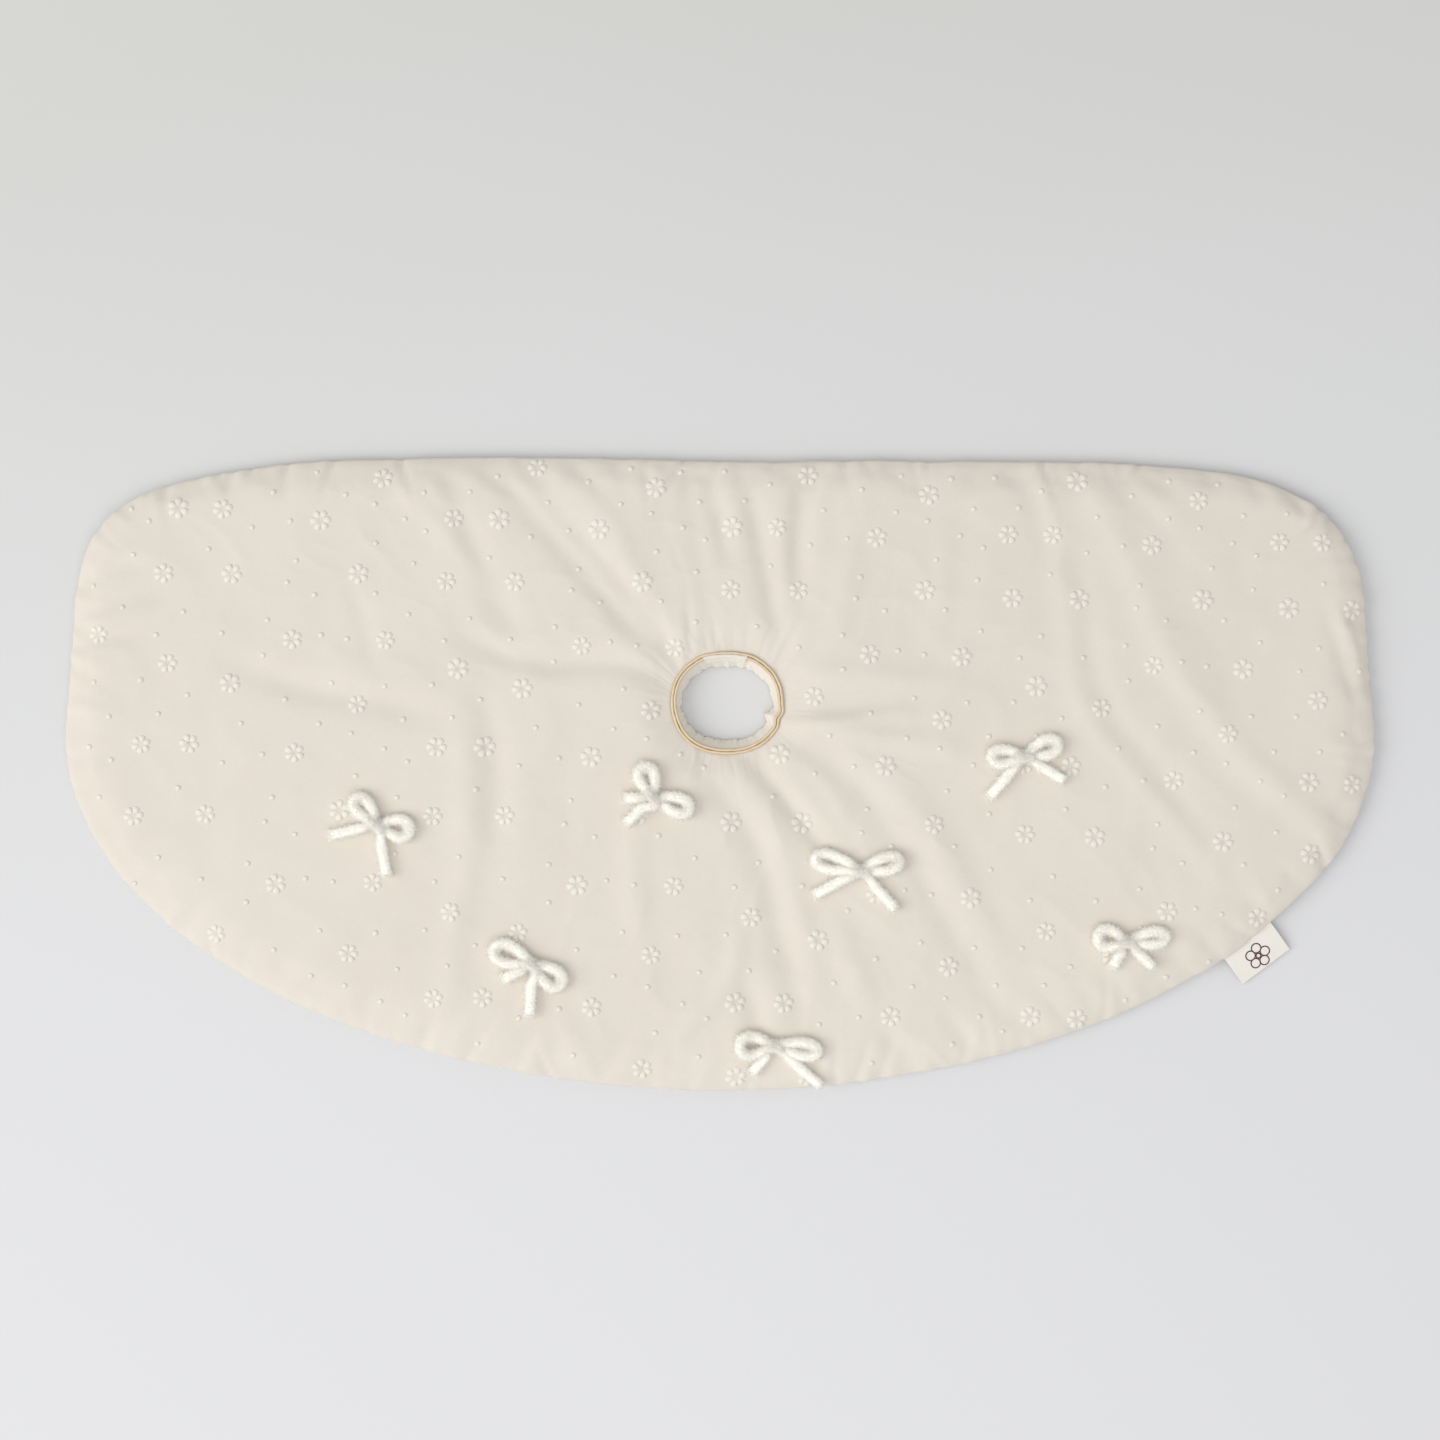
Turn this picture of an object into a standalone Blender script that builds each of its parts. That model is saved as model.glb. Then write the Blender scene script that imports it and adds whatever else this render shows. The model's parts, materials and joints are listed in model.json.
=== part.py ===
# Padded half-oval tree skirt: two cloths over wadding, a piped hole, seven tied bows, an edge label.
# Metres, +Z up. The origin is the middle of the outline, on the floor.

import math

import bmesh
import bpy
from mathutils import Vector

# Outline: a flat superellipse above the widest line and a round one below it
SKIRT_WIDTH = 0.914
UPPER_DEPTH = 0.194
LOWER_DEPTH = 0.246
UPPER_FULLNESS = 6.0
LOWER_FULLNESS = 1.95
SIDE_LEAN = 0.027
SPOKES = 72

# Padding and cloth
PAD_HEIGHT = 0.015
EDGE_ROLL = 0.022
UNDER_ROLL = 0.006
SEAM_HEIGHT = 0.005
SEAM_ALLOWANCE = 0.0075
SEAM_INSET = 0.0025
SEAM_THREAD = 0.0005
CLOTH = 0.0008
FIT = 0.0003
WADDING_EASE = 0.0005

# Hole: the piping's middle line, and the free opening below it
HOLE_PLACE = (0.0052, 0.0250)
HOLE_LENGTH = 0.0745
HOLE_DEPTH = 0.0675
OPENING_LENGTH = 0.0632
OPENING_DEPTH = 0.0514
HOLE_FULLNESS = 2.2
HOLE_DIP = 0.003
DIP_REACH = 0.024
HOLE_SPOKES = 48

# Facing and piping round the hole
FACING_CLOTH = 0.0006
FACING_FLANGE = 0.0065
LIP_WIDTH = 0.002
LIP_HEIGHT = 0.0014
LIP_TAPE = 0.00025
LIP_CORE = 0.0008
LIP_STITCH = 0.0003
JOIN_ANGLE = 110.0
JOIN_LENGTH = 0.016
JOIN_SLIT = 0.0008
JOIN_CLOTH = 0.0004

# Label: a folded tape sewn into the lower right edge
LABEL_SHARE = 0.808
LABEL_LENGTH = 0.041
LABEL_REACH = 0.021
LABEL_TAPE = 0.0004
LABEL_HINGE = 0.0013
LABEL_DROOP = 8.0
ROOT_DEPTH = 0.0031
ROOT_THICKNESS = 0.0005

# Bows: one fluffy cord each, gathered at the middle under a thread band
CORD = 0.0064
PINCH_STRAND = 0.0026
PINCH_LENGTH = 0.006
BAND_LENGTH = 0.0045
BAND_THICKNESS = 0.0004
PINCH_SPREAD = 0.011
TAIL_TURN = 0.0018

# Place as shares of half width and half depth; loops: angle, length, width; tails: angle, length
BOWS = (
    {"place": (-0.517, -0.149), "right": (-11, 0.0225, 0.0125), "left": (131, 0.0235, 0.0100),
     "tail_in": (193, 0.0325), "tail_out": (-80, 0.0350)},
    {"place": (-0.099, -0.064), "right": (-19, 0.0255, 0.0110), "left": (110, 0.0220, 0.0115),
     "tail_in": (182, 0.0190), "tail_out": (223, 0.0255)},
    {"place": (0.213, -0.294), "right": (14, 0.0275, 0.0095), "left": (165, 0.0320, 0.0105),
     "tail_in": (208, 0.0355), "tail_out": (-48, 0.0350)},
    {"place": (0.083, -0.844), "right": (-8, 0.0300, 0.0095), "left": (182, 0.0240, 0.0135),
     "tail_in": (232, 0.0240), "tail_out": (-42, 0.0420)},
    {"place": (-0.282, -0.590), "right": (-34, 0.0235, 0.0120), "left": (158, 0.0290, 0.0130),
     "tail_in": (206, 0.0220), "tail_out": (266, 0.0340)},
    {"place": (0.616, -0.518), "right": (8, 0.0265, 0.0090), "left": (170, 0.0205, 0.0125),
     "tail_in": (240, 0.0190), "tail_out": (-44, 0.0240)},
    {"place": (0.461, 0.064), "right": (22, 0.0245, 0.0110), "left": (181, 0.0225, 0.0100),
     "tail_in": (229, 0.0360), "tail_out": (-31, 0.0310)},
)
LOOP_STEPS = 9

# Values that follow from the sizes above
SKIRT_DEPTH = UPPER_DEPTH + LOWER_DEPTH
WIDEST_LINE = (LOWER_DEPTH - UPPER_DEPTH) / 2
HALF_GAP = SEAM_THREAD / 2 + FIT
FACE_SEAM = SEAM_HEIGHT + HALF_GAP
BACK_SEAM = SEAM_HEIGHT - HALF_GAP
RIM_HEIGHT = PAD_HEIGHT - HOLE_DIP
PIPING_BASE = RIM_HEIGHT + FIT
HOLE_CENTRE = Vector((HOLE_PLACE[0], WIDEST_LINE + HOLE_PLACE[1]))
SLOT = PINCH_STRAND / 2 + FIT / 2
BAND_RADIUS = math.sqrt(2) * SLOT + PINCH_STRAND / 2 + FIT
BOW_BASE = PAD_HEIGHT + FIT


def clear_scene():
    for thing in list(bpy.data.objects):
        bpy.data.objects.remove(thing, do_unlink=True)


def material(name, colour, roughness):
    made = bpy.data.materials.new(name)
    made.use_nodes = True
    shader = made.node_tree.nodes["Principled BSDF"]
    shader.inputs["Base Color"].default_value = (*colour, 1)
    shader.inputs["Roughness"].default_value = roughness
    made.diffuse_color = (*colour, 1)
    return made


def smooth(share):
    share = min(max(share, 0.0), 1.0)
    return share * share * (3 - 2 * share)


def direction(degrees):
    return Vector((math.cos(math.radians(degrees)), math.sin(math.radians(degrees))))


# Curves in plan


def superellipse(turn, half_x, half_y, fullness):
    cosine, sine = math.cos(turn), math.sin(turn)
    power = 2 / fullness
    return Vector((half_x * math.copysign(abs(cosine) ** power, cosine),
                   half_y * math.copysign(abs(sine) ** power, sine)))


def spaced(points, count):
    # Evenly spaced points along a polyline, from its start and without its end
    lengths = [0.0]
    for before, after in zip(points, points[1:]):
        lengths.append(lengths[-1] + (after - before).length)
    found = []
    step = 0
    for i in range(count):
        target = lengths[-1] * i / count
        while lengths[step + 1] < target:
            step += 1
        share = (target - lengths[step]) / (lengths[step + 1] - lengths[step])
        found.append(points[step].lerp(points[step + 1], share))
    return found


def quarter(start, half_y, fullness):
    # Above the widest line the sides lean in towards the straight edge
    fine = 360
    curve = []
    for i in range(fine + 1):
        point = superellipse(start + math.pi / 2 * i / fine, SKIRT_WIDTH / 2, half_y, fullness)
        point.x *= 1 - SIDE_LEAN * max(point.y, 0) / UPPER_DEPTH
        curve.append(point)
    return spaced(curve, SPOKES // 4)


def skirt_outline():
    points = quarter(0, UPPER_DEPTH, UPPER_FULLNESS)
    points += quarter(math.pi / 2, UPPER_DEPTH, UPPER_FULLNESS)
    points += quarter(math.pi, LOWER_DEPTH, LOWER_FULLNESS)
    points += quarter(3 * math.pi / 2, LOWER_DEPTH, LOWER_FULLNESS)
    return [point + Vector((0, WIDEST_LINE)) for point in points]


def inset(points, distance):
    # The outline runs anticlockwise, so inward is to its left
    moved = []
    for i, point in enumerate(points):
        along = (points[(i + 1) % len(points)] - points[i - 1]).normalized()
        moved.append(point + Vector((-along.y, along.x)) * distance)
    return moved


def hole_curve(length, depth, grow, headings):
    # Where each heading from the hole's centre meets its superellipse
    points = []
    for heading in headings:
        unit = heading.normalized()
        reach = (abs(unit.x) / (length / 2 + grow)) ** HOLE_FULLNESS
        reach += (abs(unit.y) / (depth / 2 + grow)) ** HOLE_FULLNESS
        points.append(HOLE_CENTRE + unit * reach ** (-1 / HOLE_FULLNESS))
    return points


def rim_curve(grow, headings):
    return hole_curve(HOLE_LENGTH, HOLE_DEPTH, grow, headings)


def opening_curve(grow, headings):
    return hole_curve(OPENING_LENGTH, OPENING_DEPTH, grow, headings)


def round_headings():
    return [direction(360 * i / HOLE_SPOKES) for i in range(HOLE_SPOKES)]


def at_height(points, height):
    return [Vector((point.x, point.y, height)) for point in points]


def between(outer, inner, share):
    return [a.lerp(b, share) for a, b in zip(outer, inner)]


# Heights of the pad


def face_height(inward):
    # The face cloth rolls over the edge as a quarter ellipse
    share = min(inward / EDGE_ROLL, 1.0)
    return FACE_SEAM + (PAD_HEIGHT - FACE_SEAM) * math.sqrt(1 - (1 - share) ** 2)


def dip_height(outward):
    return PAD_HEIGHT - HOLE_DIP * (1 - smooth(outward / DIP_REACH))


# Objects


def add_object(name, data, collection, finish):
    thing = bpy.data.objects.new(name, data)
    collection.objects.link(thing)
    data.materials.append(finish)
    return thing


def loft(name, rings, collection, finish, closed_rings=True, closed_section=False):
    # Quads from ring to ring, between sections that differ along the way
    shape = bmesh.new()
    rows = [[shape.verts.new(point) for point in ring] for ring in rings]
    pairs = list(zip(rows, rows[1:]))
    if closed_section:
        pairs.append((rows[-1], rows[0]))
    count = len(rows[0])
    for row, after in pairs:
        for i in range(count if closed_rings else count - 1):
            j = (i + 1) % count
            shape.faces.new((row[i], row[j], after[j], after[i]))
    mesh = bpy.data.meshes.new(name)
    shape.to_mesh(mesh)
    shape.free()
    mesh.shade_smooth()
    mesh.set_sharp_from_angle(angle=math.radians(50))
    return add_object(name, mesh, collection, finish)


def adopt(thing, name, collection, finish):
    # A primitive gets its name, its material and its place in the model's collection
    thing.name = name
    thing.data.materials.append(finish)
    for holder in list(thing.users_collection):
        holder.objects.unlink(thing)
    collection.objects.link(thing)
    return thing


def thicken(thing, thickness):
    # Material is added behind the surface, which stays the visible side
    modifier = thing.modifiers.new("cloth thickness", "SOLIDIFY")
    modifier.thickness = thickness
    modifier.offset = -1
    modifier.use_even_offset = True
    return thing


def wire(name, points, diameter, collection, finish, closed=False, roundness=1, widths=None):
    curve = bpy.data.curves.new(name, "CURVE")
    curve.dimensions = "3D"
    curve.bevel_depth = diameter / 2
    curve.bevel_resolution = roundness
    curve.use_fill_caps = not closed
    spline = curve.splines.new("POLY")
    spline.points.add(len(points) - 1)
    spline.use_cyclic_u = closed
    for i, point in enumerate(points):
        spline.points[i].co = (*point, 1)
        spline.points[i].radius = widths[i] if widths else 1.0
    return add_object(name, curve, collection, finish)


# The pad


def face_cloth(outline, collection, finish):
    rings = [at_height(inset(outline, SEAM_ALLOWANCE), FACE_SEAM), at_height(outline, FACE_SEAM)]
    for degrees in (25, 50, 70, 90):
        inward = EDGE_ROLL * (1 - math.cos(math.radians(degrees)))
        rings.append(at_height(inset(outline, inward), face_height(inward)))
    headings = [point - HOLE_CENTRE for point in outline]
    flat_edge = inset(outline, EDGE_ROLL)
    rings.append(at_height(between(flat_edge, rim_curve(DIP_REACH, headings), 0.5), PAD_HEIGHT))
    for outward in (DIP_REACH, DIP_REACH / 2, DIP_REACH / 5, LIP_WIDTH / 2):
        rings.append(at_height(rim_curve(outward, headings), dip_height(outward)))
    return thicken(loft("face_cloth", rings, collection, finish), CLOTH)


def backing_cloth(outline, collection, finish):
    rings = [at_height(inset(outline, SEAM_ALLOWANCE), BACK_SEAM), at_height(outline, BACK_SEAM)]
    for degrees in (30, 60, 90):
        turn = math.radians(degrees)
        rolled = inset(outline, UNDER_ROLL * (1 - math.cos(turn)))
        rings.append(at_height(rolled, BACK_SEAM * (1 - math.sin(turn))))
    headings = [point - HOLE_CENTRE for point in outline]
    hole = opening_curve(0, headings)
    rings.append(at_height(between(outline, hole, 0.5), 0))
    rings.append(at_height(hole, 0))
    thing = thicken(loft("backing_cloth", rings, collection, finish), CLOTH)
    thing.data.flip_normals()
    return thing


def wadding(outline, collection, finish):
    headings = [point - HOLE_CENTRE for point in outline]
    outer = inset(outline, SEAM_ALLOWANCE + 2 * FIT)
    top_drop = CLOTH + WADDING_EASE
    floor = CLOTH + FIT
    flange_top = floor + FACING_CLOTH + FIT
    middle = between(outer, rim_curve(DIP_REACH, headings), 0.5)
    rings = [at_height(outer, floor),
             at_height(outer, face_height(SEAM_ALLOWANCE + 2 * FIT) - top_drop),
             at_height(inset(outline, EDGE_ROLL), PAD_HEIGHT - top_drop),
             at_height(middle, PAD_HEIGHT - top_drop)]
    for outward in (DIP_REACH, DIP_REACH / 2, LIP_WIDTH / 2):
        rings.append(at_height(rim_curve(outward, headings), dip_height(outward) - top_drop))
    rings.append(at_height(rim_curve(LIP_WIDTH / 2, headings), flange_top))
    rings.append(at_height(opening_curve(FACING_FLANGE + 2 * FIT, headings), flange_top))
    rings.append(at_height(opening_curve(FACING_FLANGE + 4 * FIT, headings), floor))
    return loft("wadding", rings, collection, finish, closed_section=True)


def seam_thread(outline, collection, finish):
    points = at_height(inset(outline, SEAM_INSET), SEAM_HEIGHT)
    return wire("perimeter_seam_thread", points, SEAM_THREAD, collection, finish,
                closed=True, roundness=0)


# The hole


def hole_facing(collection, finish):
    # A strip turned over at the rim, down the hole's wall, and out again on the backing
    headings = round_headings()
    top_edge = rim_curve(-LIP_WIDTH * 0.2, headings)
    rim = rim_curve(-LIP_WIDTH, headings)
    foot = opening_curve(0, headings)
    floor = CLOTH + FIT
    rings = [at_height(top_edge, RIM_HEIGHT), at_height(rim, RIM_HEIGHT)]
    for share in (0.5, 1.0):
        rings.append(at_height(between(rim, foot, share), RIM_HEIGHT + (floor - RIM_HEIGHT) * share))
    rings.append(at_height(opening_curve(FACING_FLANGE, headings), floor))
    return thicken(loft("hole_facing", rings, collection, finish), FACING_CLOTH)


def lip_section():
    # Two arches side by side, as distance from the middle line and height above the piping's base
    outer = []
    for degrees in (0, 45, 90, 135):
        turn = math.radians(degrees)
        outer.append((LIP_WIDTH / 2 * (1 + math.cos(turn)), LIP_HEIGHT * math.sin(turn)))
    inner = [(-across, up) for across, up in reversed(outer)]
    return outer + [(0, LIP_HEIGHT * 0.42)] + inner


def join_headings(length, count):
    # Headings spread over a length of the rim, about the place where the piping's ends meet
    half = math.degrees(length / (HOLE_LENGTH + HOLE_DEPTH) * 2)
    return [direction(JOIN_ANGLE - half + 2 * half * i / (count - 1)) for i in range(count)]


def piping_sleeve(collection, finish):
    # An open ring: its ends meet at the join
    slit = math.degrees(JOIN_SLIT / (HOLE_LENGTH + HOLE_DEPTH) * 2)
    sweep = 360 - 2 * slit
    headings = [direction(JOIN_ANGLE + slit + sweep * i / HOLE_SPOKES) for i in range(HOLE_SPOKES + 1)]
    rings = [at_height(rim_curve(across, headings), PIPING_BASE + up) for across, up in lip_section()]
    return thicken(loft("piping_sleeve", rings, collection, finish, closed_rings=False), LIP_TAPE)


def piping_core(name, side, collection, finish):
    points = at_height(rim_curve(side * LIP_WIDTH / 2, round_headings()), PIPING_BASE + LIP_CORE / 2)
    return wire(name, points, LIP_CORE, collection, finish, closed=True)


def piping_stitch(collection, finish):
    height = PIPING_BASE + LIP_HEIGHT * 0.42 + LIP_STITCH / 2 + FIT
    points = at_height(rim_curve(0, round_headings()), height)
    return wire("piping_stitch", points, LIP_STITCH, collection, finish, closed=True, roundness=0)


def join_tab(collection, finish):
    # A small cloth bridge over the piping's ends
    headings = join_headings(JOIN_LENGTH, 7)
    reach = LIP_WIDTH + FIT + JOIN_CLOTH
    crown = LIP_HEIGHT + FIT + JOIN_CLOTH + LIP_STITCH
    section = [(reach, 0), (reach * 0.85, crown * 0.8), (LIP_WIDTH / 2, crown),
               (-LIP_WIDTH / 2, crown), (-reach * 0.85, crown * 0.8), (-reach, 0)]
    rings = [at_height(rim_curve(across, headings), PIPING_BASE + up) for across, up in section]
    return thicken(loft("piping_join_tab", rings, collection, finish, closed_rings=False), JOIN_CLOTH)


# The label


def label_place():
    # The edge point below the widest line at the label's share of half width, and the way out of it
    half = SKIRT_WIDTH / 2
    drop = (1 - LABEL_SHARE ** LOWER_FULLNESS) ** (1 / LOWER_FULLNESS)
    edge = Vector((LABEL_SHARE * half, WIDEST_LINE - LOWER_DEPTH * drop))
    outward = Vector((LABEL_SHARE ** (LOWER_FULLNESS - 1) / half,
                      -drop ** (LOWER_FULLNESS - 1) / LOWER_DEPTH)).normalized()
    return edge, outward


def label_root(collection, finish):
    edge, outward = label_place()
    middle = edge + outward * (LABEL_HINGE - FIT - ROOT_DEPTH / 2)
    bpy.ops.mesh.primitive_cube_add(size=1, location=(middle.x, middle.y, SEAM_HEIGHT),
                                    rotation=(0, 0, math.atan2(outward.y, outward.x)))
    thing = adopt(bpy.context.object, "label_root", collection, finish)
    thing.scale = (ROOT_DEPTH, LABEL_LENGTH, ROOT_THICKNESS)
    return thing


def label_flap(collection, finish):
    # A tape folded at its far end, hinged where it leaves the seam
    edge, outward = label_place()
    half_height = LABEL_TAPE + FIT / 2
    fold = LABEL_REACH - half_height
    section = [(FIT, half_height), (fold, half_height), (LABEL_REACH, 0),
               (fold, -half_height), (FIT, -half_height)]
    droop = math.radians(LABEL_DROOP)
    rings = []
    for out, up in section:
        across = out * math.cos(droop) + up * math.sin(droop)
        height = up * math.cos(droop) - out * math.sin(droop)
        rings.append([Vector((across, side * LABEL_LENGTH / 2, height)) for side in (-1, 1)])
    thing = thicken(loft("label_flap", rings, collection, finish, closed_rings=False), LABEL_TAPE)
    thing.data.flip_normals()
    hinge = edge + outward * LABEL_HINGE
    thing.location = (hinge.x, hinge.y, SEAM_HEIGHT)
    thing.rotation_euler.z = math.atan2(outward.y, outward.x)
    return thing


# The bows


def bow_frame(bow):
    # The pinch lies along the mean heading of the two loops
    axis = (bow["right"][0] + bow["left"][0] - 180) / 2
    centre = Vector((bow["place"][0] * SKIRT_WIDTH / 2, bow["place"][1] * SKIRT_DEPTH / 2))
    return centre, axis


def loop_points(heading, length, width):
    along, across = direction(heading), direction(heading + 90)
    points = []
    for i in range(1, LOOP_STEPS + 1):
        turn = math.pi * i / (LOOP_STEPS + 1)
        points.append(along * length * math.sin(turn) - across * width / 2 * math.sin(2 * turn))
    return points


def tail_points(axis, side, heading, length):
    # From the loose end to a point beside the band's end, clear of the loop that leaves there
    points = [direction(heading) * length * share for share in (1.0, 0.7, 0.42)]
    beside = direction(axis) * side * (PINCH_LENGTH / 2 + TAIL_TURN) - direction(axis + 90) * BAND_RADIUS
    return points + [beside]


def slot_points(axis, side, forward):
    along, across = direction(axis), direction(axis + 90)
    ends = [across * side * SLOT - along * PINCH_LENGTH / 2, across * side * SLOT + along * PINCH_LENGTH / 2]
    return ends if forward else ends[::-1]


def bow_route(bow):
    # Tail, right loop, back through the pinch, left loop, and out as the other tail
    centre, axis = bow_frame(bow)
    middle = BAND_RADIUS + BAND_THICKNESS
    low, high = middle - SLOT, middle + SLOT
    turn_back = LOOP_STEPS // 2 + 1
    right, left = loop_points(*bow["right"]), loop_points(*bow["left"])
    strands = ((tail_points(axis, -1, *bow["tail_in"]), low), (slot_points(axis, -1, True), low),
               (right[:turn_back], low), (right[turn_back:], middle),
               (slot_points(axis, 1, False), middle),
               (left[:turn_back], middle), (left[turn_back:], high),
               (slot_points(axis, -1, True), high), (tail_points(axis, 1, *bow["tail_out"])[::-1], high))
    points, widths = [], []
    thin = PINCH_STRAND / CORD
    start = math.hypot(PINCH_LENGTH / 2, SLOT)
    for strand, slot_height in strands:
        for place in strand:
            share = smooth((place.length - start) / PINCH_SPREAD)
            height = slot_height + (CORD / 2 - slot_height) * share
            spot = centre + place
            points.append(Vector((spot.x, spot.y, BOW_BASE + height)))
            widths.append(thin + (1 - thin) * share)
    return points, widths


def bow_cord(number, bow, collection, finish):
    points, widths = bow_route(bow)
    return wire(f"bow_{number}_cord", points, CORD, collection, finish, widths=widths)


def bow_band(number, bow, collection, finish):
    centre, axis = bow_frame(bow)
    bpy.ops.mesh.primitive_cylinder_add(
        vertices=16, radius=BAND_RADIUS + BAND_THICKNESS, depth=BAND_LENGTH, end_fill_type="NOTHING",
        location=(centre.x, centre.y, BOW_BASE + BAND_RADIUS + BAND_THICKNESS),
        rotation=(0, math.pi / 2, math.radians(axis)))
    thing = adopt(bpy.context.object, f"bow_{number}_band", collection, finish)
    return thicken(thing, BAND_THICKNESS)


def main():
    clear_scene()
    collection = bpy.data.collections.new("tree_skirt")
    bpy.context.scene.collection.children.link(collection)
    cotton = material("cream cotton", (0.80, 0.75, 0.66), 0.9)
    lining = material("plain lining", (0.82, 0.78, 0.70), 0.9)
    filling = material("wadding", (0.90, 0.90, 0.88), 1.0)
    thread = material("sewing thread", (0.62, 0.52, 0.38), 0.7)
    satin = material("tan satin tape", (0.55, 0.38, 0.19), 0.45)
    core = material("piping core", (0.85, 0.82, 0.75), 0.8)
    tape = material("woven label", (0.83, 0.79, 0.70), 0.8)
    chenille = material("chenille cord", (0.87, 0.85, 0.76), 1.0)
    silver = material("silver thread", (0.60, 0.60, 0.62), 0.4)

    outline = skirt_outline()
    face_cloth(outline, collection, cotton)
    wadding(outline, collection, filling)
    backing_cloth(outline, collection, lining)
    seam_thread(outline, collection, thread)
    hole_facing(collection, cotton)
    piping_sleeve(collection, satin)
    piping_core("piping_core_outer", 1, collection, core)
    piping_core("piping_core_inner", -1, collection, core)
    piping_stitch(collection, thread)
    join_tab(collection, cotton)
    label_root(collection, tape)
    label_flap(collection, tape)
    for number, bow in enumerate(BOWS, 1):
        bow_cord(number, bow, collection, chenille)
        bow_band(number, bow, collection, silver)


main()
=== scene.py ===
import json
import math
import random

import bpy
import numpy as np
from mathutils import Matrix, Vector, noise
from mathutils.bvhtree import BVHTree
from mathutils.kdtree import KDTree


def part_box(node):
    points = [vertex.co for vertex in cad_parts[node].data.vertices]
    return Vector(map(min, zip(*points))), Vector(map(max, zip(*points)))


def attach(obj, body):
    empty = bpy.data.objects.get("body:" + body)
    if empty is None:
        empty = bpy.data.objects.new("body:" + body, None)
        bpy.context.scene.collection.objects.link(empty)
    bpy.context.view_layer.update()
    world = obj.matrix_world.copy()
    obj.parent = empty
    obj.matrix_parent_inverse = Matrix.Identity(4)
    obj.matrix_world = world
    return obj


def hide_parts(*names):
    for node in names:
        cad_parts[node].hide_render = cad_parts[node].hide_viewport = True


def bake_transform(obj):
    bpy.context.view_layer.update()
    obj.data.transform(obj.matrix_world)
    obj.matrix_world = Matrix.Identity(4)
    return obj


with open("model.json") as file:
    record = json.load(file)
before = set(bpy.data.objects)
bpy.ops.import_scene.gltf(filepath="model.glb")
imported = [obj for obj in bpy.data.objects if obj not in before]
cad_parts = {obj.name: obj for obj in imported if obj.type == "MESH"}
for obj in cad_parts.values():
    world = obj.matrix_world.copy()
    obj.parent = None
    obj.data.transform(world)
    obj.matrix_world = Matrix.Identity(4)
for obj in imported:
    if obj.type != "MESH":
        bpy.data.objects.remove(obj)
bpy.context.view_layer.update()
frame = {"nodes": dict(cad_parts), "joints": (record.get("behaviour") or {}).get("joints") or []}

scene = bpy.context.scene


# Studio: camera, floor and light

studio = {
    "lens": 50.0,
    "cameraPlace": (0.0003, 0.0392, 1.403),
    "floorSize": 14.0,
    "skyStrength": 0.57,
    "skyColour": (0.97, 0.98, 1.0),
    "lamps": (
        {"name": "windowLamp", "place": (-3.75, -0.75, 3.2), "size": 3.8, "power": 113.0,
         "colour": (1.0, 0.99, 0.97)},
        {"name": "ceilingLamp", "place": (0.3, -1.2, 2.4), "size": 2.2, "power": 16.0,
         "colour": (0.98, 0.99, 1.0)},
    ),
}


def addCamera():
    bpy.ops.object.camera_add(location=studio["cameraPlace"], rotation=(0, 0, 0))
    camera = bpy.context.object
    camera.name = "overheadCamera"
    camera.data.lens = studio["lens"]
    camera.data.sensor_width = 36.0
    camera.data.clip_start = 0.05
    camera.data.clip_end = 50.0
    scene.camera = camera


def addLamps():
    target = Vector((0, 0.03, 0))
    for lamp in studio["lamps"]:
        aim = (target - Vector(lamp["place"])).to_track_quat("-Z", "Y").to_euler()
        bpy.ops.object.light_add(type="AREA", location=lamp["place"], rotation=aim)
        light = bpy.context.object
        light.name = lamp["name"]
        light.data.shape = "DISK"
        light.data.size = lamp["size"]
        light.data.energy = lamp["power"]
        light.data.color = lamp["colour"]
    world = bpy.data.worlds.new("paleRoom")
    world.use_nodes = True
    sky = world.node_tree.nodes["Background"]
    sky.inputs["Color"].default_value = (*studio["skyColour"], 1)
    sky.inputs["Strength"].default_value = studio["skyStrength"]
    scene.world = world
    scene.view_settings.view_transform = "Standard"


addCamera()
addLamps()
print("camera and lamps are up")


# Helpers for meshes


def deselectAll():
    if bpy.context.object and bpy.context.object.mode != "OBJECT":
        bpy.ops.object.mode_set(mode="OBJECT")
    bpy.ops.object.select_all(action="DESELECT")


def makeActive(piece):
    deselectAll()
    piece.select_set(True)
    bpy.context.view_layer.objects.active = piece


def pointsOf(mesh, field="co"):
    flat = np.empty(len(mesh.vertices) * 3)
    mesh.vertices.foreach_get(field, flat)
    return flat.reshape(-1, 3)


def normalsOf(mesh):
    return pointsOf(mesh, "normal")


def setPoints(mesh, points):
    mesh.vertices.foreach_set("co", np.ascontiguousarray(points, dtype=float).ravel())
    mesh.update()


def storeValues(piece, name, values):
    piece.data.attributes.new(name, "FLOAT", "POINT").data.foreach_set("value", values)


def newPiece(name, points, faces):
    mesh = bpy.data.meshes.new(name)
    mesh.from_pydata([tuple(point) for point in points], [], faces)
    mesh.update()
    piece = bpy.data.objects.new(name, mesh)
    scene.collection.objects.link(piece)
    return piece


def loftedPiece(name, rings, closedSection=False):
    # Quads from ring to ring; all rings have the same count and run the same way
    count = len(rings[0])
    faces = []
    pairs = [(i, i + 1) for i in range(len(rings) - 1)]
    if closedSection:
        pairs.append((len(rings) - 1, 0))
    for before, after in pairs:
        for i in range(count):
            j = (i + 1) % count
            faces.append((before * count + i, before * count + j,
                          after * count + j, after * count + i))
    return newPiece(name, np.vstack(rings), faces)


def applyModifier(piece, kind, **settings):
    makeActive(piece)
    modifier = piece.modifiers.new(kind.lower(), kind)
    for name, value in settings.items():
        setattr(modifier, name, value)
    bpy.ops.object.modifier_apply(modifier=modifier.name)


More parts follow.
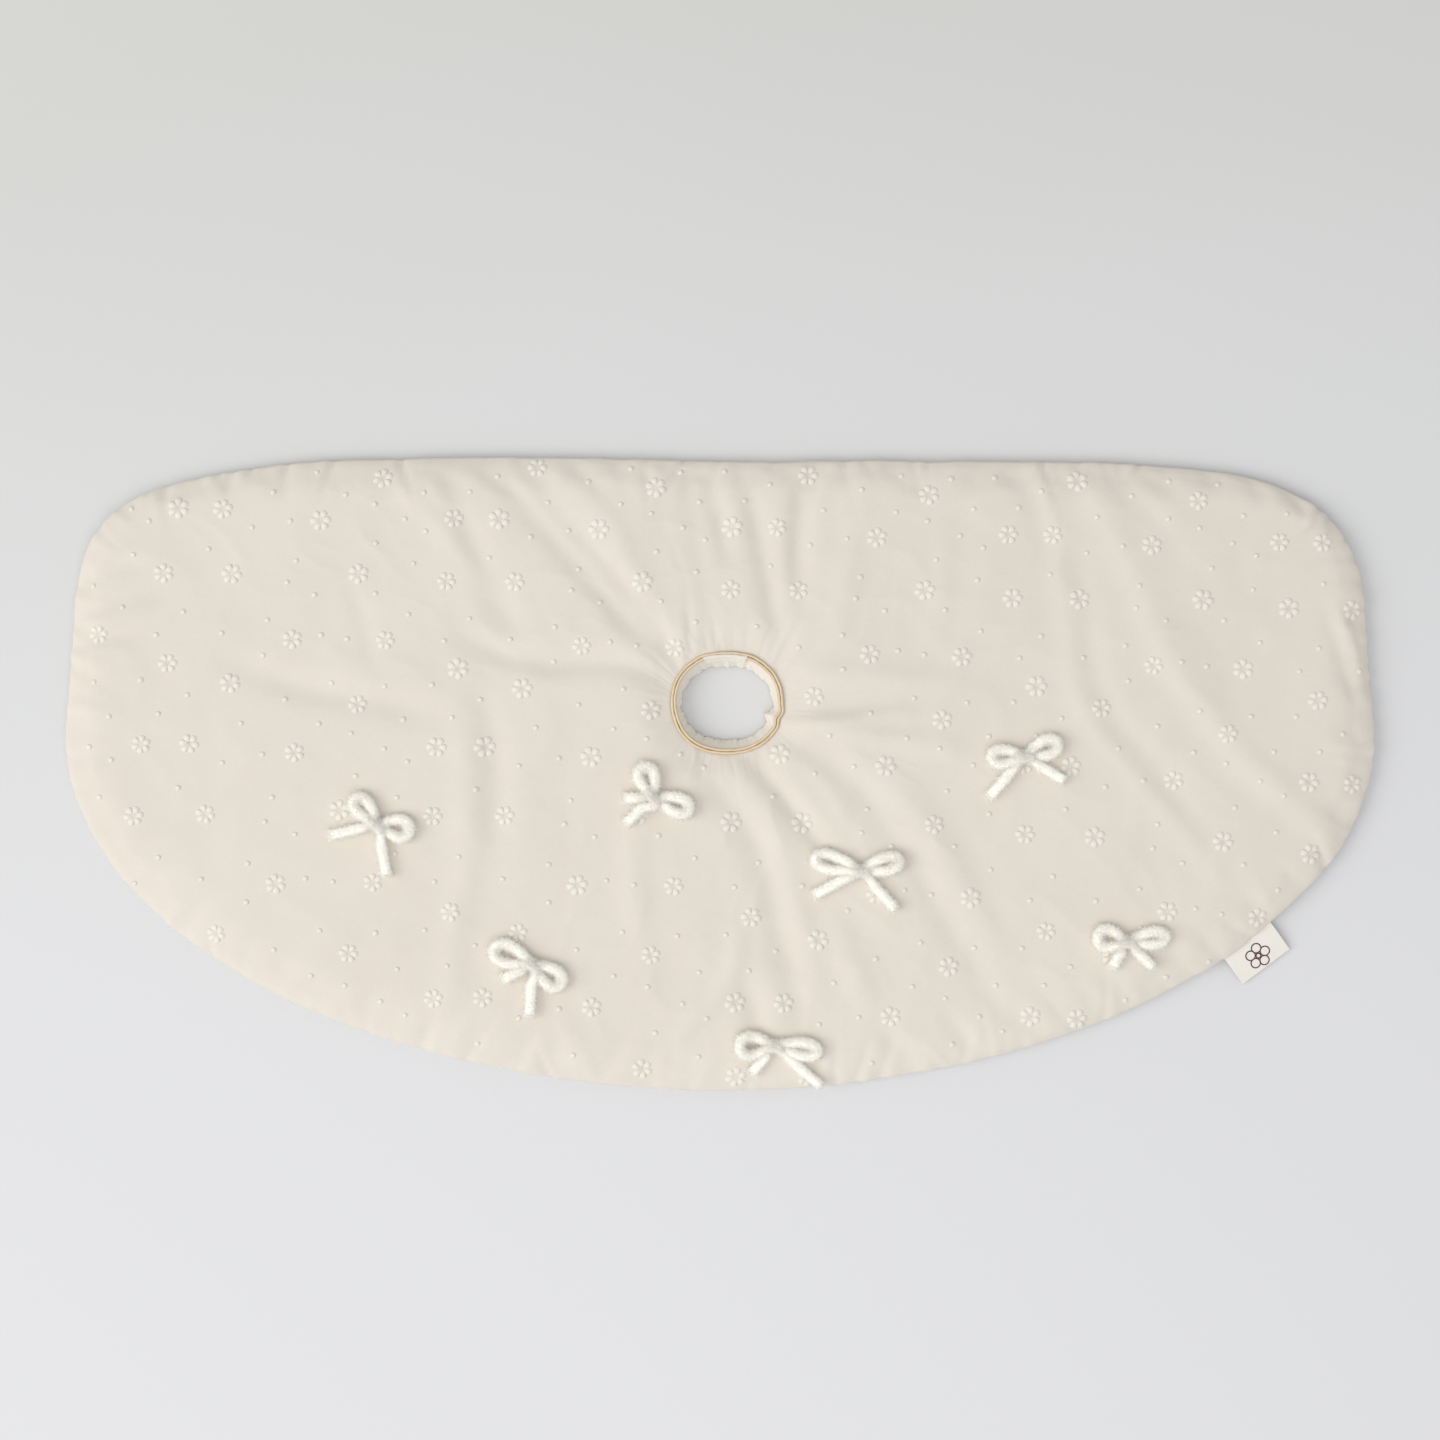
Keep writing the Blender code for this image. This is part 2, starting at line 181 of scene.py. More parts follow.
def joinPieces(pieces, name):
    deselectAll()
    for piece in pieces:
        piece.select_set(True)
    bpy.context.view_layer.objects.active = pieces[0]
    if len(pieces) > 1:
        bpy.ops.object.join()
    joined = bpy.context.object
    joined.name = joined.data.name = name
    return joined


def settle(piece):
    # The place, turn and size go into the mesh
    makeActive(piece)
    bpy.ops.object.transform_apply(location=True, rotation=True, scale=True)


def smoothShade(piece, angle=None):
    makeActive(piece)
    if angle is None:
        bpy.ops.object.shade_smooth()
    else:
        bpy.ops.object.shade_smooth_by_angle(angle=math.radians(angle))


def startPiece(name, add, **settings):
    # One of Blender's own shapes, named
    deselectAll()
    add(**settings)
    piece = bpy.context.object
    piece.name = piece.data.name = name
    return piece


def smoothStep(share):
    share = np.clip(share, 0.0, 1.0)
    return share * share * (3 - 2 * share)


def bell(share):
    return np.exp(-share ** 2)


def lengths(rows):
    return np.linalg.norm(rows, axis=1)


def unit(rows):
    return rows / np.maximum(lengths(rows), 1e-9)[:, None]


def onCircle(turn, third=None):
    # Points on the unit circle, flat or with a third coordinate
    columns = [np.cos(turn), np.sin(turn)]
    if third is not None:
        columns.append(np.broadcast_to(third, len(turn)))
    return np.column_stack(columns)


def evenly(points, count):
    # A closed line cut into equal steps
    line = np.vstack([points, points[:1]])
    along = np.concatenate([[0.0], np.cumsum(lengths(np.diff(line, axis=0)))])
    places = np.linspace(0, along[-1], count, endpoint=False)
    return np.column_stack([np.interp(places, along, line[:, k]) for k in range(line.shape[1])])


def curved(points, perSpan):
    # A smooth line through the points, Catmull-Rom
    points = np.asarray(points, dtype=float)
    ends = np.vstack([2 * points[0] - points[1], points, 2 * points[-1] - points[-2]])
    steps = np.arange(perSpan)[:, None] / perSpan
    spans = []
    for a, b, c, d in zip(ends, ends[1:], ends[2:], ends[3:]):
        spans.append(0.5 * (2 * b + (c - a) * steps + (2 * a - 5 * b + 4 * c - d) * steps ** 2
                            + (3 * b - a - 3 * c + d) * steps ** 3))
    return np.vstack(spans + [points[-1:]])


def grain(points, scale, seed):
    # Smooth noise from -1 to 1 at each point
    return np.array([noise.noise(Vector((x * scale, y * scale, z * scale + seed)))
                        for x, y, z in points])


# Outline of the skirt and of its hole

low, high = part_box("face_cloth")
skirt = {
    "width": high.x - low.x,
    "depth": high.y - low.y,
    "upperDepth": 0.194,
    "upperFullness": 6.0,
    "lowerFullness": 1.95,
    "sideLean": 0.027,
    "edgeWobble": 0.0016,
    "wobbleScale": 15.0,
    "leftRise": 0.0022,
    "leftRisePlace": -0.165,
    "leftRiseReach": 0.14,
    "height": 0.0150,
    "edgeRoll": 0.022,
    "faceSeam": 0.00555,
    "backSeam": 0.00445,
}
skirt["lowerDepth"] = skirt["depth"] - skirt["upperDepth"]
skirt["widestLine"] = (skirt["lowerDepth"] - skirt["upperDepth"]) / 2

hole = {
    "middle": np.array([0.0052, 0.0510]),
    "rim": (0.0745, 0.0675),
    "opening": (0.0632, 0.0514),
    "fullness": 2.2,
    "dip": 0.003,
    "dipReach": 0.024,
    "kinkReach": 0.006,
    "kinks": ((-9, 6, 0.0009), (-17, 5, -0.0013), (-26, 6, 0.0004), (118, 9, 0.0006),
              (61, 8, 0.0005), (200, 14, -0.0005)),
}


def skirtOutline(count):
    # Full corners above the widest line, a round sweep below it, and a slight hand-sewn wobble
    turn = np.linspace(0, 2 * math.pi, 7200, endpoint=False)
    cosine, sine = np.cos(turn), np.sin(turn)
    upper = sine >= 0
    power = 2 / np.where(upper, skirt["upperFullness"], skirt["lowerFullness"])
    depth = np.where(upper, skirt["upperDepth"], skirt["lowerDepth"])
    x = skirt["width"] / 2 * np.sign(cosine) * np.abs(cosine) ** power
    y = depth * np.sign(sine) * np.abs(sine) ** power
    x *= 1 - skirt["sideLean"] * np.maximum(y, 0) / skirt["upperDepth"]
    points = evenly(np.column_stack([x, y + skirt["widestLine"]]), count)
    flat = np.column_stack([points, np.zeros(count)])
    wobble = grain(flat, skirt["wobbleScale"], 3.1) + 0.45 * grain(flat, skirt["wobbleScale"] * 3.4, 7.9)
    points -= inwardOf(points) * (wobble * skirt["edgeWobble"])[:, None]
    rise = bell((points[:, 0] - skirt["leftRisePlace"]) / skirt["leftRiseReach"])
    points[:, 1] += skirt["leftRise"] * rise * smoothStep(points[:, 1] / skirt["upperDepth"])
    return points


def inwardOf(points):
    along = unit(np.roll(points, -1, axis=0) - np.roll(points, 1, axis=0))
    return np.column_stack([-along[:, 1], along[:, 0]])


def turnedAway(degrees, place):
    return (degrees - place + 180) % 360 - 180


def kinkAt(degrees):
    # Small pushes in and out where the hole's edge is pulled by its seam
    total = np.zeros_like(degrees)
    for place, spread, push in hole["kinks"]:
        total += push * bell(turnedAway(degrees, place) / spread)
    return total


def holeLine(aim, size, grow=0.0):
    # Where the ray from the hole's middle towards each aim point meets the hole's outline
    ray = unit(aim - hole["middle"])
    reach = (np.abs(ray[:, 0]) / (size[0] / 2 + grow)) ** hole["fullness"]
    reach += (np.abs(ray[:, 1]) / (size[1] / 2 + grow)) ** hole["fullness"]
    heading = np.degrees(np.arctan2(ray[:, 1], ray[:, 0]))
    fade = math.exp(-max(grow, 0) / hole["kinkReach"])
    return hole["middle"] + ray * (reach ** (-1 / hole["fullness"]) + kinkAt(heading) * fade)[:, None]


def fromRim(points):
    # Distance outside the hole's rim, as a share of its radius
    return lengths((points - hole["middle"]) / (np.array(hole["rim"]) / 2)) - 1


def withHeight(points, height):
    return np.column_stack([points, np.broadcast_to(height, len(points))])


# Face cloth: puffed by a cloth simulation, then its folds are sculpted

faceCloth = {
    "ribs": 360,
    "rollSteps": (0.0, 0.0007, 0.0018, 0.0034, 0.0054, 0.0078, 0.0106, 0.0140, 0.0178, 0.0220),
    "rollFullness": 2.5,
    "middleSteps": 36,
    "holeSteps": (0.0200, 0.0165, 0.0132, 0.0102, 0.0075, 0.0052, 0.0033, 0.0018, 0.0007),
    "allowance": 0.0060,
    "pressure": 4.0,
    "slack": 0.012,
    "frames": 20,
    "mostPuff": 0.0022,
    "swell": 0.0011,
    "rumple": 0.0006,
    "creaseHeight": 0.0007,
    "deepest": 0.0042,
    "puckers": 120,
    "puckerDepth": 0.0012,
    "gatherHeight": 0.0008,
    "calmEdge": 0.014,
    "calmRim": 0.2,
    "seed": 11,
}

# Each fold in millimetres: height (a hollow is below zero), half width, and the line it follows
folds = (
    # upper left, running down towards the hole
    (-3.5, 10, ((-185, 190), (-165, 145), (-140, 100))),
    (2, 9, ((-200, 205), (-175, 160), (-150, 120))),
    (1.5, 8, ((-235, 215), (-200, 180), (-160, 130))),
    (-2.5, 8, ((-140, 215), (-95, 165), (-55, 120), (-35, 90))),
    (-3, 9, ((-150, 205), (-110, 160), (-60, 105), (-40, 85))),
    (1.5, 9, ((-115, 215), (-75, 175), (-50, 120))),
    # above the hole
    (-3, 8, ((-10, 215), (0, 180), (5, 150))),
    (-1.5, 9, ((-20, 205), (-15, 165), (-10, 120))),
    (-3, 8, ((20, 200), (25, 180), (35, 130), (40, 100))),
    (1, 7, ((45, 205), (45, 165), (50, 120))),
    (-3, 9, ((60, 210), (55, 165), (55, 120))),
    (1.5, 10, ((100, 205), (90, 150), (80, 95))),
    (1, 8, ((155, 180), (155, 135), (150, 95))),
    # long folds down the right side
    (1.5, 8, ((220, 205), (240, 120), (250, 55), (275, 15), (315, -30), (350, -75))),
    (-1.5, 9, ((250, 150), (265, 60), (300, 10), (340, -40))),
    (3, 11, ((255, 205), (285, 150), (315, 80), (350, 30), (395, -15), (430, -45))),
    (1, 10, ((300, 155), (335, 75), (375, 25))),
    (-1, 7, ((260, 215), (300, 180), (345, 120))),
    (-2, 9, ((205, 210), (220, 185), (230, 150))),
    (-1, 10, ((360, 180), (360, 150), (360, 120))),
    (1.5, 5, ((425, 120), (440, 90), (450, 55))),
    (-1.5, 5, ((420, 120), (430, 85), (440, 50))),
    # right of the hole
    (3, 6, ((50, 35), (90, 40), (130, 45))),
    (3, 9, ((55, 40), (100, 30), (160, 20))),
    (2, 9, ((55, 75), (105, 70), (165, 65))),
    # below the hole
    (1, 7, ((35, 20), (70, 0), (95, -40))),
    (-4, 8, ((20, 15), (50, -20), (75, -55))),
    (-2, 10, ((50, 25), (90, 0), (125, -45), (155, -95), (180, -140), (200, -170))),
    (2, 11, ((85, 20), (130, -15), (165, -70), (195, -125))),
    (-3, 11, ((-15, 10), (15, -25), (35, -70), (50, -135), (60, -175))),
    (2, 11, ((10, 0), (40, -45), (55, -100), (70, -155))),
    (2.5, 11, ((75, -90), (90, -125), (105, -160))),
    (2, 8, ((15, -105), (5, -145), (-20, -170), (-45, -205))),
    (1, 10, ((-5, -105), (-20, -145), (-50, -185))),
    (-4, 10, ((20, -145), (25, -165), (25, -190))),
    (2.5, 11, ((-55, -20), (-60, -70), (-55, -115))),
    # left of the hole
    (2, 11, ((-180, 60), (-175, 5), (-175, -60), (-185, -125), (-185, -175))),
    (-3, 11, ((-160, 60), (-155, 0), (-155, -50))),
    (-4, 9, ((-175, 95), (-130, 80), (-75, 80), (-45, 70))),
    (-3.5, 11, ((-340, 80), (-300, 65), (-250, 55), (-200, 45))),
    (-1.5, 6, ((-255, 130), (-245, 105), (-240, 75))),
    # short creases pulled by the edge seam
    (-3, 6, ((-440, 135), (-420, 145), (-400, 150))),
    (3, 6, ((-445, 105), (-420, 110), (-395, 120))),
    (-3, 6, ((-450, 90), (-430, 95), (-410, 100))),
    (1, 7, ((-110, -160), (-100, -185), (-95, -205))),
)


def faceRings(edge):
    inward = inwardOf(edge)
    rolled = skirt["height"] - skirt["faceSeam"]
    full = faceCloth["rollFullness"]
    rings = []
    for step in faceCloth["rollSteps"]:
        share = 1 - step / skirt["edgeRoll"]
        rings.append(withHeight(edge + inward * step,
                                skirt["faceSeam"] + rolled * max(1 - share ** full, 0) ** (1 / full)))
    flatEdge = edge + inward * skirt["edgeRoll"]
    dipEdge = holeLine(edge, hole["rim"], hole["dipReach"])
    for i in range(1, faceCloth["middleSteps"]):
        share = i / faceCloth["middleSteps"]
        rings.append(withHeight(flatEdge * (1 - share) + dipEdge * share, skirt["height"]))
    for outward in (hole["dipReach"], *faceCloth["holeSteps"]):
        sunk = hole["dip"] * (1 - smoothStep(outward / hole["dipReach"]))
        rings.append(withHeight(holeLine(edge, hole["rim"], outward), skirt["height"] - sunk))
    return rings


def puffUp(piece, pinned):
    # Pressure lifts the cloth between its sewn edges; how far a point moves is capped
    start = pointsOf(piece.data)
    group = piece.vertex_groups.new(name="sewnEdges")
    group.add([int(i) for i in pinned], 1.0, "REPLACE")
    cloth = piece.modifiers.new("puff", "CLOTH")
    cloth.settings.quality = 5
    cloth.settings.mass = 0.2
    cloth.settings.tension_stiffness = 15
    cloth.settings.compression_stiffness = 15
    cloth.settings.shear_stiffness = 5
    cloth.settings.bending_stiffness = 0.4
    cloth.settings.shrink_min = -faceCloth["slack"]
    cloth.settings.use_pressure = True
    cloth.settings.uniform_pressure_force = faceCloth["pressure"]
    cloth.settings.effector_weights.gravity = 0
    cloth.settings.vertex_group_mass = group.name
    cloth.collision_settings.use_collision = False
    cloth.point_cache.frame_end = faceCloth["frames"]
    for i in range(1, faceCloth["frames"] + 1):
        scene.frame_set(i)
    posed = piece.evaluated_get(bpy.context.evaluated_depsgraph_get())
    moved = pointsOf(posed.data) - start
    piece.modifiers.remove(cloth)
    piece.vertex_groups.remove(group)
    scene.frame_set(1)
    far = lengths(moved)[:, None]
    cap = faceCloth["mostPuff"]
    moved *= cap * np.tanh(far / cap) / np.maximum(far, 1e-9)
    setPoints(piece.data, start + moved)
    print("cloth puffed, at most", round(float(far.max()) * 1000, 1), "mm before the cap")


def foldHeights(points):
    total = np.zeros(len(points))
    for height, width, line in folds:
        line = curved(np.array(line) / 1000, 6)
        spread = width / 1000
        near = np.all((points > line.min(axis=0) - 4 * spread)
                         & (points < line.max(axis=0) + 4 * spread), axis=1)
        spots = points[near]
        nearest = np.full(len(spots), 1e9)
        place = np.zeros(len(spots))
        for i, (a, b) in enumerate(zip(line, line[1:])):
            step = b - a
            share = np.clip(((spots - a) @ step) / (step @ step), 0, 1)
            gap = lengths(spots - a - share[:, None] * step)
            closer = gap < nearest
            nearest[closer] = gap[closer]
            place[closer] = (i + share)[closer]
        along = place / (len(line) - 1)
        taper = np.sqrt(np.sin(math.pi * np.clip(along * 0.92 + 0.04, 0, 1)))
        ridge = bell(nearest / spread) - 0.18 * bell(nearest / spread / 2.4)
        total[near] += height / 1000 * ridge * taper
    return total


def crumple(flat):
    # Fine sharp creases that wander over the cloth
    warp = np.column_stack([grain(flat, 16.0, 2.9), grain(flat, 16.0, 6.3), np.zeros(len(flat))])
    bent = flat + warp * 0.012
    sharp = (1 - np.abs(grain(bent, 21.0, 4.1))) ** 5
    finer = (1 - np.abs(grain(bent, 44.0, 8.6))) ** 4
    return sharp * faceCloth["creaseHeight"] + finer * faceCloth["creaseHeight"] * 0.45


def edgeCoordinates(points, edge):
    # For each point, the place along the outline and the distance in from it
    tree = KDTree(len(edge))
    for i, (x, y) in enumerate(edge):
        tree.insert((x, y, 0), i)
    tree.balance()
    along = np.concatenate([[0.0], np.cumsum(lengths(np.roll(edge, -1, axis=0) - edge))])
    found = [tree.find((x, y, 0)) for x, y in points]
    return along[[i for _, i, _ in found]], np.array([d for _, _, d in found]), along[-1]


def puckerHeights(points, edge):
    # Short creases where the sewn edge gathers the cloth
    along, inward, length = edgeCoordinates(points, edge)
    dice = random.Random(faceCloth["seed"])
    total = np.zeros(len(points))
    place = 0.0
    for _ in range(faceCloth["puckers"]):
        place += length / faceCloth["puckers"] * dice.uniform(0.55, 1.45)
        lean = dice.uniform(-0.55, 0.55)
        width = dice.uniform(0.0016, 0.0034)
        reach = dice.uniform(0.008, 0.030)
        depth = faceCloth["puckerDepth"] * dice.uniform(0.05, 1.0) ** 1.5 * 1.5
        across = (along - place - lean * inward + length / 2) % length - length / 2
        fade = bell(inward / reach) * smoothStep((inward + 0.0015) / 0.004)
        total -= depth * fade * bell(across / width)
        total += depth * 0.5 * fade * bell((across - width * 2.1) / (width * 1.4))
    return total


def holeCreases(points):
    # Gathers that spread out from the hole's piping
    away = points - hole["middle"]
    far = fromRim(points)
    ringed = onCircle(np.arctan2(away[:, 1], away[:, 0]), np.minimum(far, 2.5) * 0.25)
    fade = np.exp(-far / 0.7) * smoothStep(far / 0.12)
    return faceCloth["gatherHeight"] * grain(ringed, 2.0, 7.7) * fade


def makeFaceCloth():
    count = faceCloth["ribs"]
    rings = faceRings(skirtOutline(count))
    piece = loftedPiece("faceCloth", rings)
    last = (len(rings) - 2) * count
    puffUp(piece, [*range(2 * count), *range(last, len(rings) * count)])
    applyModifier(piece, "SUBSURF", levels=1, render_levels=1)
    points = pointsOf(piece.data)
    normals = normalsOf(piece.data)
    fineEdge = skirtOutline(2400)
    _, inward, _ = edgeCoordinates(points[:, :2], fineEdge)
    away = fromRim(points[:, :2])
    calm = smoothStep(inward / faceCloth["calmEdge"]) * smoothStep(away / faceCloth["calmRim"])
    flat = points * (1, 1, 0)
    lift = np.maximum(foldHeights(points[:, :2]) * calm, -faceCloth["deepest"])
    lift += faceCloth["swell"] * grain(flat, 9.0, 1.7) * calm
    lift += faceCloth["rumple"] * grain(flat, 34.0, 5.3) * calm
    lift += crumple(flat) * smoothStep(inward / 0.006) * smoothStep(away / 0.1)
    lift += puckerHeights(points[:, :2], fineEdge)
    lift += holeCreases(points[:, :2])
    setPoints(piece.data, points + normals * lift[:, None])
    smoothShade(piece)
    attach(piece, "skirt")
    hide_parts("face_cloth")
    return piece


facePiece = makeFaceCloth()
print("face cloth has", len(facePiece.data.polygons), "faces")


class ClothTop:
    # Finds the face cloth's height and slope under a place
    def __init__(self, piece):
        mesh = piece.data
        self.tree = BVHTree.FromPolygons([v.co for v in mesh.vertices],
                                         [p.vertices for p in mesh.polygons])

    def at(self, x, y):
        spot, slope, _, _ = self.tree.ray_cast(Vector((x, y, 0.1)), Vector((0, 0, -1)))
        if spot is None:
            spot, slope, _, _ = self.tree.find_nearest(Vector((x, y, 0.009)))
        return spot, slope


clothTop = ClothTop(facePiece)


# Wadding and backing

padLayers = {
    "ribs": 180,
    "rings": 24,
    "ease": 0.0016,
    "searchReach": 0.011,
    "seamInset": 0.0085,
    "rimInset": 0.0015,
    "leastHeight": 0.002,
    "innerDrop": 0.004,
    "clothStep": 0.0010,
    "underRoll": 0.006,
    "flange": 0.0085,
    "backRipple": 0.0005,
}


def lowestNearby(x, y):
    heights = [clothTop.at(x, y)[0].z]
    for turn in range(0, 360, 45):
        reach = padLayers["searchReach"]
        heights.append(clothTop.at(x + reach * math.cos(math.radians(turn)),
                                   y + reach * math.sin(math.radians(turn)))[0].z)
    return min(heights)


def makeWadding():
    edge = skirtOutline(padLayers["ribs"])
    outer = edge + inwardOf(edge) * padLayers["seamInset"]
    inner = holeLine(edge, hole["rim"], padLayers["rimInset"])
    lower = holeLine(edge, hole["opening"], padLayers["flange"])
    floor = padLayers["clothStep"]
    rings = [withHeight(lower, floor), withHeight(outer, floor), withHeight(outer, floor)]
    for share in np.linspace(0, 1, padLayers["rings"]):
        rings.append(withHeight(outer * (1 - share) + inner * share, floor))
    for ring in rings[2:]:
        ring[:, 2] = [max(lowestNearby(x, y) - padLayers["ease"], floor + padLayers["leastHeight"])
                      for x, y, _ in ring]
    rings.append(withHeight(inner, rings[-1][:, 2] - padLayers["innerDrop"]))
    piece = loftedPiece("waddingFill", rings, closedSection=True)
    smoothShade(piece, 50)
    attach(piece, "skirt")
    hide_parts("wadding")
    return piece


def makeBacking():
    edge = skirtOutline(faceCloth["ribs"])
    inward = inwardOf(edge)
    opening = holeLine(edge, hole["opening"], 0.0006)
    rings = [withHeight(edge + inward * faceCloth["allowance"], skirt["backSeam"])]
    for degrees in (0, 18, 36, 54, 72, 90):
        turn = math.radians(degrees)
        rings.append(withHeight(edge + inward * padLayers["underRoll"] * (1 - math.cos(turn)),
                                skirt["backSeam"] * (1 - math.sin(turn))))
    under = edge + inward * padLayers["underRoll"]
    for share in np.linspace(0, 1, 26)[1:]:
        rings.append(withHeight(under * (1 - share) + opening * share, 0.0))
    piece = loftedPiece("backingCloth", rings[::-1])
    points = pointsOf(piece.data)
    ripple = (grain(points * (1, 1, 0), 26.0, 8.8) + 0.25).clip(0, 1) * padLayers["backRipple"]
    points[:, 2] += ripple * (points[:, 2] < 0.0001)
    setPoints(piece.data, points)
    smoothShade(piece)
    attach(piece, "skirt")
    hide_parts("backing_cloth")
    return piece


waddingPiece = makeWadding()
backingPiece = makeBacking()
print("wadding and backing are in")


# Embroidery on the face cloth: flowers and dots in one repeat, in millimetres from its start

embroidery = {
    "start": (0.01145, 0.17385),
    "across": (0.2047, -0.0060),
    "down": (0.0005, -0.1660),
    "flowers": ((145.0, -133.2), (54.8, -117.3), (202.0, -163.8), (30.5, -158.2), (104.1, -165.9),
                (136.7, -39.6), (200.6, -45.1), (45.1, -39.6), (95.1, -86.8), (161.0, -88.1),
                (9.0, -102.7)),
    "dots": ((165.9, -164.5), (177.7, -144.4), (44.4, -81.9), (65.2, -145.0), (14.6, -66.6),
             (142.3, -153.4), (94.4, -129.1), (181.8, -7.6), (133.9, -86.8), (119.4, -146.4),
             (25.0, -21.5), (163.1, -120.8), (81.9, -166.6), (90.2, -29.8), (6.9, -137.4),
             (146.4, -16.7), (175.6, -31.9), (54.1, -5.6), (125.6, -118.0), (115.2, -84.0),
             (106.9, -54.8), (202.6, -88.8), (175.6, -69.4), (75.6, -72.9), (86.1, -45.8),
             (196.4, -120.1), (150.6, -54.1), (75.6, -97.9), (25.7, -124.9)),
    "driftX": (-7.6, -19.5, 2.2, -4.2, 3.1, -16.1, -1.2),
    "driftY": (-9.1, -1.0, -14.1, -0.3, 13.2, 0.8, 0.6),
    "driftWidth": 0.451,
    "driftDepth": 0.222,
    "petals": 6,
    "petalSteps": 6,
    "flowerSize": 0.0075,
    "flowerHeight": 0.0010,
    "dotSize": 0.0020,
    "dotHeight": 0.0009,
    "edgeRoom": 0.0052,
    "holeRoom": 0.0062,
    "seed": 23,
}


def repeatPlaces(spots, edge):
    # The cloth's repeat, drawn a little out of square where the cloth was stretched
    found = []
    for column in range(-4, 5):
        for row in range(-1, 4):
            for spotX, spotY in spots:
                x = embroidery["start"][0] + spotX / 1000
                x += column * embroidery["across"][0] + row * embroidery["down"][0]
                y = embroidery["start"][1] + spotY / 1000
                y += column * embroidery["across"][1] + row * embroidery["down"][1]
                a, b = x / embroidery["driftWidth"], y / embroidery["driftDepth"]
                terms = (a * a, a * b, b * b, a ** 3, a * a * b, a * b * b, b ** 3)
                x += sum(k * term for k, term in zip(embroidery["driftX"], terms)) / 1000
                y += sum(k * term for k, term in zip(embroidery["driftY"], terms)) / 1000
                found.append((x, y))
    return [spot for spot in found if insideSkirt(spot, edge)]


def insideSkirt(spot, edge):
    spot = np.array(spot)
    inward = inwardOf(edge)
    nearest = np.argmin(lengths(edge - spot))
    if (spot - edge[nearest]) @ inward[nearest] < embroidery["edgeRoom"]:
        return False
    rim = holeLine(spot[None, :], hole["rim"], embroidery["holeRoom"])[0]
    return np.linalg.norm(spot - hole["middle"]) > np.linalg.norm(rim - hole["middle"])


def insetDisc(name, count, radius, shares):
    disc = startPiece(name, bpy.ops.mesh.primitive_circle_add, vertices=count, radius=radius,
                      fill_type="NGON")
    bpy.ops.object.mode_set(mode="EDIT")
    bpy.ops.mesh.select_mode(type="FACE")
    for share in shares:
        bpy.ops.mesh.inset(thickness=radius * share)
    bpy.ops.object.mode_set(mode="OBJECT")
    return disc


def modelFlower():
    # A disc inset three times, its rings pulled into petals round a small hollow
    count = embroidery["petals"] * embroidery["petalSteps"]
    flower = insetDisc("flowerModel", count, 1.0, (0.16, 0.34, 0.32))
    points = pointsOf(flower.data)
    reach = np.hypot(points[:, 0], points[:, 1])
    turn = np.arctan2(points[:, 1], points[:, 0])
    lobe = np.abs(np.cos(turn * embroidery["petals"] / 2)) ** 0.36
    outer = smoothStep((reach - 0.1) / 0.6)
    size = embroidery["flowerSize"] * (1 - 0.40 * outer * (1 - lobe))
    height = np.where(reach > 0.95, -0.25, np.where(reach > 0.75, 0.85,
                         np.where(reach > 0.4, 1.0, 0.0)))
    height = height * (1 - 0.85 * (1 - lobe) * (reach < 0.95)) * embroidery["flowerHeight"]
    setPoints(flower.data, np.column_stack([points[:, :2] * size[:, None], height]))
    return flower


def modelDot():
    dot = insetDisc("dotModel", 9, embroidery["dotSize"], (0.18, 0.34))
    points = pointsOf(dot.data)
    reach = np.hypot(points[:, 0], points[:, 1]) / embroidery["dotSize"]
    points[:, 2] = np.where(reach > 0.9, -0.25, np.where(reach > 0.6, 0.68, 1.0))
    points[:, 2] *= embroidery["dotHeight"]
    setPoints(dot.data, points)
    return dot


def sewOn(name, model, places, seed):
    # Copies of one model laid on the cloth, each with its own turn and small size change
    dice = random.Random(seed)
    shape = pointsOf(model.data)
    outline = [tuple(face.vertices) for face in model.data.polygons]
    points, faces, stitches, crests = [], [], [], []
    for x, y in places:
        turn, size = dice.uniform(0, 2 * math.pi), dice.uniform(0.92, 1.08)
        cosine, sine = math.cos(turn) * size, math.sin(turn) * size
        start = len(points)
        for u, v, lift in shape:
            spot, slope = clothTop.at(x + u * cosine - v * sine, y + u * sine + v * cosine)
            points.append(spot + slope * lift)
            stitches.append(math.atan2(v, u) / (2 * math.pi))
            # The height is stored to paint shade and light: low rims and gaps are coloured darker, crests
            # lighter
            crests.append(lift * 1000)
        faces.extend(tuple(start + i for i in face) for face in outline)
    bpy.data.objects.remove(model)
    piece = newPiece(name, points, faces)
    storeValues(piece, "stitchTurn", stitches)
    storeValues(piece, "stitchCrest", crests)
    smoothShade(piece, 60)
    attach(piece, "skirt")
    return piece


sewnEdge = skirtOutline(1200)
flowerPlaces = repeatPlaces(embroidery["flowers"], sewnEdge)
dotPlaces = repeatPlaces(embroidery["dots"], sewnEdge)
flowersPiece = sewOn("embroideredFlowers", modelFlower(), flowerPlaces, embroidery["seed"])
dotsPiece = sewOn("embroideredDots", modelDot(), dotPlaces, embroidery["seed"] + 1)
print("embroidered", len(flowerPlaces), "flowers and", len(dotPlaces), "dots")


# Facing, piping and join round the hole

